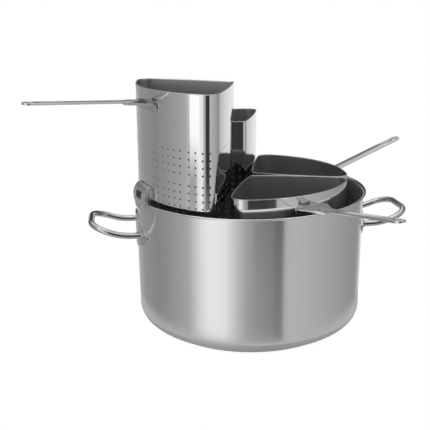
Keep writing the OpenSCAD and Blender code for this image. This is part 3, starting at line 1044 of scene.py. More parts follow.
@dataclass
class StripHandle:
    """Long strip with a flat tab, a round end and a hanging hole."""

    width: float = 18.0
    sheet: float = 3.0
    tab: float = 16.0
    length: float = 145.0
    hang_hole: float = 10.0
    hang_inset: float = 11.0
    # the bend is spread over this length on each side of the neck
    bend_half: float = 4.0
    bend_steps: int = 4
    steps: int = 12
    edge_round: float = 0.55
    edge_segments: int = 3

    def bent(self, x: float, lift: float, slope: float) -> Flat:
        """Bends the strip at its neck.

        Args:
            x: Length along the flat strip from its neck.
            lift: Height above its underside.
            slope: Slope above level in radians.

        Returns:
            Length and height after the bend.
        """
        soft = self.bend_half
        angle = slope * min(max((x + soft) / (2 * soft), 0), 1)
        near, far = max(min(x, soft), -soft) + soft, max(x - soft, 0)
        run = min(x, -soft) + near * math.cos(angle / 2) + far * math.cos(slope)
        rise = near * math.sin(angle / 2) + far * math.sin(slope)
        return run - lift * math.sin(angle), rise + lift * math.cos(angle)

    def flat_mesh(self) -> bmesh.types.BMesh:
        """Cuts the flat strip, with its hole and with cross lines where it bends.

        Returns:
            The strip, lying along +X from its neck, in millimetres.
        """
        half, soft, steps = self.width / 2, self.bend_half, self.steps
        tip, hole = self.length - half, (self.length - self.hang_inset, 0.0)
        reach = hole[0] - self.hang_hole / 2
        # each half of the strip is one outline that runs round half of the hole
        outline = [*[(soft + (reach - soft) * i / steps, 0) for i in range(steps)],
                   *arc_points(hole, self.hang_hole / 2, 180, 0, steps),
                   *arc_points((tip, 0), half, 0, 90, steps),
                   *[(tip - (tip - soft) * i / steps, half) for i in range(1, steps + 1)]]
        ends = [soft * (1 - i / self.bend_steps) for i in range(2 * self.bend_steps + 1)]
        ends.append(-self.tab)
        quads = [[(a, 0), (a, half), (b, half), (b, 0)] for a, b in zip(ends, ends[1:])]
        mesh = bmesh.new()
        for side in (1, -1):
            for shape in (outline, *quads):
                mesh.faces.new([mesh.verts.new((x, side * y, 0)) for x, y in shape[::side]])
        bmesh.ops.remove_doubles(mesh, verts=mesh.verts, dist=MERGE / MM)
        bmesh.ops.recalc_face_normals(mesh, faces=mesh.faces)
        return mesh

    def mesh(self, slope: float, swing: float, neck: Point) -> Mesh:
        """Makes the strip, bent at its neck.

        Args:
            slope: Slope above level in degrees.
            swing: Swing about the bracket's neck in degrees.
            neck: Place of the neck on the bracket's top face.

        Returns:
            The mesh.
        """
        mesh = self.flat_mesh()
        grown = bmesh.ops.extrude_face_region(mesh, geom=mesh.faces[:])
        for vert in (v for v in grown["geom"] if isinstance(v, bmesh.types.BMVert)):
            vert.co.z = self.sheet
        bmesh.ops.recalc_face_normals(mesh, faces=mesh.faces)
        layer = mesh.loops.layers.uv.new(SURFACE_UV)
        for loop in (loop for face in mesh.faces for loop in face.loops):
            loop[layer].uv = (loop.vert.co.x * MM, loop.vert.co.y * MM)
        for vert in mesh.verts:
            run, rise = self.bent(vert.co.x, vert.co.z, math.radians(slope))
            vert.co = Vector((run, vert.co.y, rise)) * MM
        mesh.transform(Matrix.Translation([c * MM for c in neck])
                       @ Matrix.Rotation(math.radians(swing), 4, "Z"))
        result = bpy.data.meshes.new("strip")
        mesh.to_mesh(result)
        mesh.free()
        return rounded(result, self.edge_round, self.edge_segments)


@dataclass
class DrainHook:
    """Domed hook low on the outer wall, with a window, a strap and a rest for the pot's rim."""

    plan: Plan
    width: float = 46.0
    sheet: float = 2.0
    standoff: float = 12.4
    crown: float = 22.0
    dome_radius: float = 22.0
    rest: float = 3.0
    tip: float = 11.0
    turn: float = -5.0
    window_width: float = 22.0
    window_low: float = 1.0
    window_top: float = 13.0
    strap_share: float = 0.56
    strap_start: float = -9.0
    # room that keeps the shelf and the closed ends from sharing faces with the dome
    air: float = 0.02
    end_margin: float = 0.5
    end_share: float = 0.9995
    edge_round: float = 0.35
    strips: int = 30
    fold_steps: int = 5
    over_steps: int = 6
    front_steps: int = 5

    def lines(self) -> tuple[list[Flat], list[Flat]]:
        """Draws the section of the hook, X out from the arc's centre and Y up.

        Returns:
            Its outer and its inner line.
        """
        wall, sheet, radius = self.plan.arc_radius, self.sheet, self.dome_radius
        across = radius - self.standoff + sheet
        rise = math.sqrt((radius - sheet) ** 2 - across ** 2)
        fold = (wall + sheet, self.crown - sheet)
        middle = (fold[0] - across, fold[1] - rise)
        steep = math.degrees(math.atan2(rise, across))
        head = math.degrees(math.asin((self.window_top - middle[1]) / radius))
        outer = [(wall, 0.0), (wall, fold[1])]
        outer += arc_points(fold, sheet, 180, steep, self.fold_steps)[1:]
        inner = [(fold[0], 0.0), *[fold] * (self.fold_steps + 1)]
        for line, size in ((outer, radius), (inner, radius - sheet)):
            line += arc_points(middle, size, steep, head, self.over_steps)[1:]
            line += arc_points(middle, size, head, 0, self.front_steps)[1:]
            line += [(middle[0] + size, z) for z in (self.window_low, -self.rest, self.strap_start,
                                                     -self.rest - self.tip)]
        return outer, inner

    def at(self, r: float, z: float, angle: float) -> Point:
        """Finds a point on the hook, drawn in where the strap is narrower.

        Args:
            r: Distance from the outer arc's centre.
            z: Height above the insert's foot.
            angle: Turn from the hook's middle in radians.

        Returns:
            The point.
        """
        down = min(1.0, max(0.0, (-self.rest - z) / (-self.rest - self.strap_start)))
        turn = math.radians(self.turn) + angle * (1 - (1 - self.strap_share) * down)
        return (r * math.cos(turn) - self.plan.setback, r * math.sin(turn), z)

    def mesh(self) -> Mesh:
        """Makes the dome with its window and strap, the closed ends and the rest.

        Returns:
            The mesh.
        """
        wall, sheet, air = self.plan.arc_radius, self.sheet, self.air
        outer = wall + self.standoff
        skin, core = self.lines()
        # rows of the section between which the window is open
        first = 1 + self.fold_steps + self.over_steps
        last = first + self.front_steps + 1
        half = math.asin(self.width / 2 / wall)
        gap = self.window_width / 2 / (outer - sheet / 2)
        turns = sorted({-half + 2 * half * i / self.strips for i in range(self.strips + 1)}
                       | {-gap, gap})
        draft = Draft()

        def add(rows: Iterable[Iterable[Point]], **options: object) -> None:
            """Adds a sheet of quads, mapped across the hook and up it."""
            draft.add_grid([list(row) for row in rows], uv=lambda p: (p[2], p[1]), **options)

        for line in (skin, core):
            add(((self.at(*p, a) for p in line) for a in turns),
                skip=lambda i, j: abs(turns[i] + turns[i + 1]) / 2 < gap and first <= j < last)
        # cut edges between the faces: sides, root and tip, then the window's sides, head and foot
        every, opening = range(len(skin)), range(first, last + 1)
        span = [a for a in turns if -gap <= a <= gap]
        for rows, angles in ((every, turns[:1]), (every, turns[-1:]), (every[:1], turns),
                             (every[-1:], turns), (opening, [-gap]), (opening, [gap]),
                             ([first], span), ([last], span)):
            add((self.at(*line[j], a) for j in rows for a in angles) for line in (skin, core))
        root, face, low, top = wall - sheet, outer - sheet - air, -self.rest, sheet - self.rest
        shelf = [(root, low), (face, low), (face, top), (root, top)]
        add(((self.at(*p, a) for p in shelf) for a in turns), close_columns=True)
        for a in (turns[0], turns[-1]):
            add((self.at(*shelf[k], a) for k in row) for row in ((0, 1), (3, 2)))
        # the closed ends, between the dome and the insert's wall
        front = [(r - air, z) for r, z in core if z > top and r > wall + sheet + self.end_margin]
        front.append((face, top + air))
        back = [(wall + sheet + air, z) for _, z in front]
        for a in (turns[0], turns[-1]):
            pair = (a * self.end_share, a - math.copysign(sheet / outer, a))
            around = [*front, *reversed(back)]
            add(((self.at(*p, b) for p in around) for b in pair), close_columns=True)
            for b in pair:
                add((self.at(*p, b) for p in line) for line in (front, back))
        return rounded(draft.to_mesh("hook"), self.edge_round)


@dataclass
class Strainer:
    """One kind of insert: its plan, perforated sheet, plates, strip handle and drain hook.

    The pieces are drawn with the foot at z = 0 and the axis of symmetry along +X.
    """

    plan: Plan = field(default_factory=Plan)
    holes: Perforation = field(default_factory=Perforation)
    strip: StripHandle = field(default_factory=StripHandle)
    hook: DrainHook = field(init=False)
    height: float = 166.0
    sheet: float = 1.0
    foot_radius: float = 3.0
    foot_steps: int = 4
    # the blank's grid round a hole, as half widths of its cell, opening and middle
    cell_halves: Point = (2.6, 1.5, 0.4)
    column_gap: float = 3.0
    row_gap: float = 26.0
    seam: float = 0.01
    ring_points: int = 12
    edge_radius: float = 0.75
    edge_air: float = 0.05
    edge_points: int = 10
    bracket_drop: float = 18.5
    bracket_sheet: float = 2.5
    bracket_width: float = 58.0
    bracket_reach: float = 36.0
    bracket_steps: int = 10
    flange: float = 10.0
    fold: float = 2.0
    fold_steps: int = 5
    # least reach of the bracket past its flange, and least room and radius of its fold
    least_reach: float = 0.05
    least_room: float = 0.02
    least_fold: float = 0.01
    edge_round: float = 0.35
    rim_half: float = 54.0
    rim_depth: float = 23.0
    rim_sheet: float = 1.2
    rim_soft: float = 0.35
    rim_least: float = 0.02
    rim_strips: int = 54
    mark_radius: float = 1.9
    mark_height: float = 0.22
    mark_points: int = 14
    mark_rings: int = 8
    # spot welds: places across the flange and the hook, share of the flange, height on the hook
    flange_marks: tuple[float, ...] = (-23, -9, 9, 23)
    hook_marks: tuple[float, ...] = (-17, -6, 6, 17)
    flange_mark_share: float = 0.55
    hook_mark_height: float = 9.0

    def __post_init__(self) -> None:
        """Sets the hook on the insert's plan."""
        self.hook = DrainHook(self.plan)

    @property
    def bracket_top(self) -> float:
        """Height of the bracket's top face."""
        return self.height - self.bracket_drop

    @property
    def neck(self) -> float:
        """X of the bracket's outer end."""
        return self.plan.arc_radius - self.plan.setback + self.bracket_reach

    # Perforated wall and floor

    def wall_tree(self) -> GeometryTree:
        """Builds the tree that punches a flat blank, bends it round the plan and thickens it.

        Returns:
            The tree.
        """
        g = GeometryTree("perforated_wall", {
            "Plan": "Object", "Girth": "Float", "Hole radius": "Float", "Foot radius": "Float",
            "Sheet": "Float", "Finish": "Material"})
        entry = g.entry
        marks = {"punched": "BOOLEAN", "ring": "BOOLEAN", "from_centre": "FLOAT_VECTOR"}
        punched, ring, spoke = (
            g.add("GeometryNodeInputNamedAttribute", {"Name": name}, data_type=kind)[0]
            for name, kind in marks.items())
        cut = g.add("GeometryNodeDeleteGeometry",
                    {"Geometry": entry["Geometry"], "Selection": punched}, domain="FACE")[0]
        # the twelve points round each opening move onto the hole's circle
        unit = g.add("ShaderNodeVectorMath", {0: spoke}, operation="NORMALIZE")[0]
        rim = g.add("ShaderNodeVectorMath", {0: unit, "Scale": entry["Hole radius"]},
                    operation="SCALE")[0]
        shift = g.add("ShaderNodeVectorMath", {0: rim, 1: spoke}, operation="SUBTRACT")[0]
        drilled = g.add("GeometryNodeSetPosition",
                        {"Geometry": cut, "Selection": ring, "Offset": shift})[0]
        flat = g.add("GeometryNodeInputPosition")[0]
        mapped = g.keep(drilled, SURFACE_UV, flat, "FLOAT2", "CORNER")
        # the blank's X runs round the plan, and its Y up the wall, past the rounded foot
        parts = g.add("ShaderNodeSeparateXYZ", {0: flat})
        sums = {"along": parts[0], "up": parts[1], "girth": entry["Girth"],
                "foot": entry["Foot radius"]}
        for name, operation, *terms in (
                ("share", "DIVIDE", "along", "girth"), ("short", "SUBTRACT", "foot", "up"),
                ("below", "MAXIMUM", "short", 0.0), ("part", "DIVIDE", "below", "foot"),
                ("angle", "MULTIPLY", "part", math.pi / 2), ("cosine", "COSINE", "angle"),
                ("back", "SUBTRACT", "cosine", 1.0), ("inset", "MULTIPLY", "back", "foot"),
                ("sine", "SINE", "angle"), ("drop", "MULTIPLY", "sine", "foot"),
                ("height", "MAXIMUM", "up", "foot"), ("rise", "SUBTRACT", "height", "drop")):
            inputs = {i: sums.get(term, term) for i, term in enumerate(terms)}
            sums[name] = g.add("ShaderNodeMath", inputs, operation=operation)[0]
        outline = g.add("GeometryNodeObjectInfo", {"Object": entry["Plan"]})["Geometry"]
        spot = g.add("GeometryNodeSampleCurve",
                     {"Curves": outline, "Factor": sums["share"]},
                     mode="FACTOR", use_all_curves=True)
        outward = g.add("ShaderNodeVectorMath", {0: spot["Tangent"], 1: (0, 0, 1)},
                        operation="CROSS_PRODUCT")[0]
        inwards = g.add("ShaderNodeVectorMath", {0: outward, "Scale": sums["inset"]},
                        operation="SCALE")[0]
        place = g.add("ShaderNodeVectorMath", {0: spot["Position"], 1: inwards}, operation="ADD")[0]
        up = g.add("ShaderNodeCombineXYZ", {2: sums["rise"]})[0]
        raised = g.add("ShaderNodeVectorMath", {0: place, 1: up}, operation="ADD")[0]
        bent = g.add("GeometryNodeSetPosition", {"Geometry": mapped, "Position": raised})[0]
        joined = g.add("GeometryNodeMergeByDistance",
                       {"Geometry": bent, "Distance": self.seam * MM})[0]
        g.finish(g.thicken(joined))
        return g

    def grid_lines(self, centres: list[float], fixed: list[float], high: float,
                   gap: float) -> list[float]:
        """Places the blank's lines through all cells, with the spaces between them divided.

        Args:
            centres: Middles of the holes.
            fixed: Further lines.
            high: Last line. The first is at zero.
            gap: Longest space between two lines.

        Returns:
            The lines in order.
        """
        offsets = [way * half for half in self.cell_halves for way in (-1, 1)]
        marks = sorted({round(c + o, 6) for c in centres for o in offsets} | {0.0, high, *fixed})
        lines = []
        for a, b in zip(marks, marks[1:]):
            # a space that is over the gap by less than a hundredth of it isn't divided
            count = max(1, math.ceil((b - a) / gap - 0.01))
            lines += [a + (b - a) * i / count for i in range(count)]
        return [*lines, marks[-1]]

    def wall_blank(self) -> Mesh:
        """Makes the wall's flat blank, whose grid is fine round each hole.

        Returns:
            The mesh, with the marks that the tree reads.
        """
        half = self.cell_halves[1]
        columns, rows = self.holes.columns(self.plan), self.holes.rows()
        foot = [self.foot_radius * i / self.foot_steps for i in range(1, self.foot_steps + 1)]
        us = self.grid_lines(columns, [], self.plan.girth, self.column_gap)
        vs = self.grid_lines(rows, foot, self.height, self.row_gap)
        near_u = [min(columns, key=lambda c: abs(c - u)) for u in us]
        near_v = [min(rows, key=lambda c: abs(c - v)) for v in vs]
        draft = Draft()
        draft.add_grid([[(u, v, 0.0) for u in us] for v in vs])
        mesh = raw_mesh("wall_blank", draft.points, draft.faces)
        steps = [(u - nu, v - nv) for v, nv in zip(vs, near_v) for u, nu in zip(us, near_u)]
        spokes = [c * MM for du, dv in steps for c in (du, dv, 0.0)]
        ring = [math.isclose(max(abs(du), abs(dv)), half, abs_tol=1e-4) for du, dv in steps]
        punched = [abs((us[j] + us[j + 1]) / 2 - near_u[j]) < half
                   and abs((vs[i] + vs[i + 1]) / 2 - near_v[i]) < half
                   for i in range(len(vs) - 1) for j in range(len(us) - 1)]
        for name, kind, domain, part, values in (
                ("from_centre", "FLOAT_VECTOR", "POINT", "vector", spokes),
                ("ring", "BOOLEAN", "POINT", "value", ring),
                ("punched", "BOOLEAN", "FACE", "value", punched)):
            mesh.attributes.new(name, kind, domain).data.foreach_set(part, values)
        return mesh

    def wall_mesh(self, material: Material) -> Mesh:
        """Makes the perforated wall with a rounded foot.

        Args:
            material: Its material.

        Returns:
            The mesh.
        """
        return self.wall_tree().run(self.wall_blank(), {
            "Plan": self.plan.curve("wall_plan"), "Girth": self.plan.girth * MM,
            "Hole radius": self.holes.hole / 2 * MM, "Foot radius": self.foot_radius * MM,
            "Sheet": self.sheet * MM, "Finish": material})

    def floor_mesh(self, material: Material) -> Mesh:
        """Makes the perforated floor that fills the wall's foot.

        Args:
            material: Its material.

        Returns:
            The mesh.
        """
        g = GeometryTree("perforated_floor", {
            "Plan": "Object", "Hole radius": "Float", "Sheet": "Float", "Finish": "Material"})
        ring = g.add("GeometryNodeCurvePrimitiveCircle",
                     {"Resolution": self.ring_points, "Radius": g.entry["Hole radius"]},
                     mode="RADIUS")[0]
        rings = g.add("GeometryNodeInstanceOnPoints",
                      {"Points": g.entry["Geometry"], "Instance": ring})[0]
        real = g.add("GeometryNodeRealizeInstances", {"Geometry": rings})[0]
        outline = g.add("GeometryNodeObjectInfo", {"Object": g.entry["Plan"]})["Geometry"]
        both = g.add("GeometryNodeJoinGeometry", {0: [real, outline]})[0]
        face = g.add("GeometryNodeFillCurve", {"Curve": both}, mode="TRIANGLES")[0]
        flat = g.add("GeometryNodeInputPosition")[0]
        mapped = g.keep(face, SURFACE_UV, flat, "FLOAT2", "CORNER")
        up = g.add("ShaderNodeCombineXYZ", {2: g.entry["Sheet"]})[0]
        raised = g.add("GeometryNodeSetPosition", {"Geometry": mapped, "Offset": up})[0]
        g.finish(g.thicken(raised))
        spots = self.holes.floor_spots(self.plan, self.sheet + 2 * self.holes.hole)
        return g.run(raw_mesh("floor_spots", spots), {
            "Plan": self.plan.curve("floor_plan", self.foot_radius),
            "Hole radius": self.holes.hole / 2 * MM, "Sheet": self.sheet * MM, "Finish": material})

    def rim_edge_mesh(self, material: Material) -> Mesh:
        """Makes the round edge that finishes the sheet at the rim.

        Args:
            material: Its material.

        Returns:
            The mesh.
        """
        g = GeometryTree("rim_edge", {
            "Plan": "Object", "Height": "Float", "Edge radius": "Float", "Finish": "Material"})
        outline = g.add("GeometryNodeObjectInfo", {"Object": g.entry["Plan"]})["Geometry"]
        up = g.add("ShaderNodeCombineXYZ", {2: g.entry["Height"]})[0]
        raised = g.add("GeometryNodeSetPosition", {"Geometry": outline, "Offset": up})[0]
        section = g.add("GeometryNodeCurvePrimitiveCircle",
                        {"Resolution": self.edge_points, "Radius": g.entry["Edge radius"]},
                        mode="RADIUS")[0]
        g.finish(g.add("GeometryNodeCurveToMesh", {"Curve": raised, "Profile Curve": section})[0])
        return g.run(raw_mesh("rim_blank", []), {
            "Plan": self.plan.curve("rim_plan", self.sheet / 2),
            "Height": (self.height - self.edge_radius - self.edge_air) * MM,
            "Edge radius": self.edge_radius * MM, "Finish": material})

    # Plates at the rim

    def rim_plate_mesh(self) -> Mesh:
        """Makes the half-moon plate on the outer arc, under the rim.

        Returns:
            The mesh.
        """
        disc = (self.rim_half ** 2 + self.rim_depth ** 2) / (2 * self.rim_depth)
        centre = self.height - self.rim_depth + disc
        draft, rows, top, sheet = Draft(), [], self.height, self.rim_sheet
        for i in range(self.rim_strips + 1):
            y = self.rim_half * math.sin(math.pi * (i / self.rim_strips - 0.5))
            low = max(centre - math.sqrt(disc ** 2 - y * y), self.bracket_top)
            low = min(low, top - self.rim_least)
            cut, flat = min(self.rim_soft, (top - low) / 2), sheet - self.rim_soft
            line = [(0, low), (flat, low), (sheet, low + cut), (sheet, (low + top) / 2),
                    (sheet, top - cut), (flat, top), (0, top)]
            rows.append([(self.plan.wall_x(y, out), y, z) for out, z in line])
        draft.add_grid([rows[0]] + rows + [rows[-1]], close_columns=True, uv=lambda p: (p[1], p[2]))
        return draft.to_mesh("rim_plate")

    def bracket_mesh(self) -> Mesh:
        """Makes the fan-shaped plate that is folded down against the wall.

        Returns:
            The mesh.
        """
        half, neck_half = self.bracket_width / 2, self.strip.width / 2
        top, under = self.bracket_top, self.bracket_top - self.bracket_sheet
        low, draft, rows = under - self.flange, Draft(), []
        count = self.bracket_steps
        stops = [half - (half - neck_half) * i / count for i in range(count + 1)]
        stops += [neck_half / 2, 0]
        for y in [-v for v in stops] + stops[-2::-1]:
            wall, skin = self.plan.wall_x(y), self.plan.wall_x(y, self.bracket_sheet)
            reach = self.neck - self.bracket_reach * max(abs(y) - neck_half, 0) / (half - neck_half)
            reach = max(reach, skin + self.least_reach)
            fold = min(self.fold, max(reach - skin - self.least_room, self.least_fold))
            bend = [(skin + fold - x, under - fold + z)
                    for z, x in arc_points((0, 0), fold, 0, 90, self.fold_steps)]
            line = [(wall, low), (wall, top), (skin, top), (reach, top), (reach, under), *bend,
                    (skin, low)]
            rows.append([(x, y, z) for x, z in line])
        ends = [[(sum(p[0] for p in row) / len(row), row[0][1], under)] * len(row)
                for row in (rows[0], rows[-1])]
        draft.add_grid([ends[0], *rows, ends[1]], close_columns=True, uv=lambda p: (p[0], p[1]))
        return rounded(draft.to_mesh("bracket"), self.edge_round)

    # Spot welds

    def weld_spots(self) -> list[tuple[Point, Point]]:
        """Places the spot welds on the bracket's flange and on the hook.

        Returns:
            Places and outward directions.
        """
        under = self.bracket_top - self.bracket_sheet
        spots = [(y, self.bracket_sheet, under - self.flange * self.flange_mark_share)
                 for y in self.flange_marks]
        middle = math.sin(math.radians(self.hook.turn)) * self.plan.arc_radius
        spots += [(middle + y, self.hook.sheet, self.hook_mark_height) for y in self.hook_marks]
        result = []
        for y, out, z in spots:
            x = self.plan.wall_x(y, out)
            away = Vector((x + self.plan.setback, y, 0)).normalized()
            result.append(((x, y, z), tuple(away)))
        return result

    def spot_mesh(self, material: Material) -> Mesh:
        """Sets a shallow round weld mark at each spot.

        Args:
            material: Their material.

        Returns:
            The mesh.
        """
        g = GeometryTree("spot_welds", {
            "Mark radius": "Float", "Mark height": "Float", "Finish": "Material"})
        ball = g.add("GeometryNodeMeshUVSphere",
                     {"Segments": self.mark_points, "Rings": self.mark_rings, "Radius": 1.0})[0]
        size = g.add("ShaderNodeCombineXYZ", {
            0: g.entry["Mark radius"], 1: g.entry["Mark radius"], 2: g.entry["Mark height"]})[0]
        flat = g.add("GeometryNodeTransform", {"Geometry": ball, "Scale": size})[0]
        away = g.add("GeometryNodeInputNamedAttribute", {"Name": "away"},
                     data_type="FLOAT_VECTOR")[0]
        turn = g.add("FunctionNodeAlignRotationToVector", {"Vector": away}, axis="Z")[0]
        g.finish(g.add("GeometryNodeInstanceOnPoints", {
            "Points": g.entry["Geometry"], "Instance": flat, "Rotation": turn})[0])
        spots = self.weld_spots()
        points = raw_mesh("weld_spots", [p for p, _ in spots])
        points.attributes.new("away", "FLOAT_VECTOR", "POINT").data.foreach_set(
            "vector", [c for _, away in spots for c in away])
        return g.run(points, {"Mark radius": self.mark_radius * MM,
                              "Mark height": self.mark_height * MM, "Finish": material})


@dataclass
class Place:
    """Where one insert stands, and how its strip is bent: angles in degrees."""

    name: str
    quadrant: float
    turn: float
    shift: Flat
    lean: float
    foot: float
    slope: float
    swing: float

    def matrix(self) -> Matrix:
        """Works out where the insert stands.

        Returns:
            Transform from an insert's own frame to the part's, in metres.
        """
        return Matrix.Translation((self.shift[0] * MM, self.shift[1] * MM, self.foot * MM)) \
            @ Matrix.Rotation(math.radians(self.quadrant + SECTOR / 2 + self.turn), 4, "Z") \
            @ Matrix.Rotation(math.radians(self.lean), 4, "X")


PLACES = [
    Place("front_right", 270, 0, (-5.5, 1.0), 0, 70.3, 8.5, -5),
    Place("back_right", 0, 0, (-5.5, 1.0), 0, 70.3, 17, -7),
    Place("front_left", 180, -2.9, (-12.7985, -8.0602), -1.5, 218.541, 3.5, 1.5),
    Place("back_left", 90, 4.2, (2.3, 8.7), 0, 152.3, 8.5, 0),
]


class Inserts:
    """Builds the insert's pieces once and sets a copy of each in the four places."""

    def __init__(self, strainer: Strainer, shop: Workshop) -> None:
        """Makes the meshes of one insert.

        Args:
            strainer: Sizes of the insert.
            shop: Workshop that gives the materials.
        """
        sheet, weld = shop.material(INSERT_FINISH), shop.material(BRACKET_FINISH)
        self.shop, self.strainer = shop, strainer
        edge = strainer.rim_edge_mesh(shop.material(EDGE_FINISH))
        self.kinds = [
            ("rim_edge", edge, EDGE_FINISH, Slot.INSERT, ""),
            ("strainer_wall", strainer.wall_mesh(sheet), INSERT_FINISH, Slot.INSERT, "wall"),
            ("strainer_floor", strainer.floor_mesh(sheet), INSERT_FINISH, Slot.INSERT, "floor"),
            ("half_moon_plate", strainer.rim_plate_mesh(), INSERT_FINISH, Slot.INSERT, "rim_plate"),
            ("fan_bracket", strainer.bracket_mesh(), BRACKET_FINISH, Slot.BRACKET, "bracket"),
            ("drain_hook", strainer.hook.mesh(), HOOK_FINISH, Slot.BRACKET, "hook"),
            ("spot_welds", strainer.spot_mesh(weld), BRACKET_FINISH, Slot.WELD, ""),
        ]

    def dress(self) -> None:
        """Sets the pieces in their places."""
        neck = (self.strainer.neck, 0.0, self.strainer.bracket_top)
        for place in PLACES:
            strip = self.strainer.strip.mesh(place.slope, place.swing, neck)
            kinds = [*self.kinds, ("strip_handle", strip, HANDLE_FINISH, Slot.HANDLE, "handle")]
            for kind, mesh, finish, slot, node in kinds:
                copy = mesh.copy()
                copy.transform(place.matrix())
                nodes = [f"{place.name}_{node}"] if node else []
                self.shop.deliver(f"{place.name}_{kind}", copy, finish, f"{place.name}_insert",
                                  slot, nodes)


# Studio

@dataclass(frozen=True)
class Card:
    """A light or dark card, in degrees to the right of the camera's side and above level."""

    left: float
    right: float
    low: float
    high: float
    level: float
    side_soft: float
    end_soft: float = 2.5

    def over(self, nodes: Nodes, turn: Socket, rise: Socket, level: Socket) -> Socket:
        """Lays the card over what is behind it.

        Args:
            nodes: Nodes of the world.
            turn: Degrees to the right of the camera's side.
            rise: Degrees above level.
            level: Brightness behind the card.

        Returns:
            The brightness with the card in place.
        """
        mask = 1.0
        side_soft, end_soft = self.side_soft, self.end_soft
        for place, edge, soft in ((turn, self.left, side_soft), (turn, self.right, -side_soft),
                                  (rise, self.low, end_soft), (rise, self.high, -end_soft)):
            side = nodes.add("ShaderNodeMapRange", {0: place, 1: edge - soft, 2: edge + soft},
                             interpolation_type="SMOOTHSTEP")[0]
            mask = nodes.add("ShaderNodeMath", {0: mask, 1: side}, operation="MULTIPLY")[0]
        return nodes.add("ShaderNodeMix", {0: mask, 2: level, 3: self.level})[0]


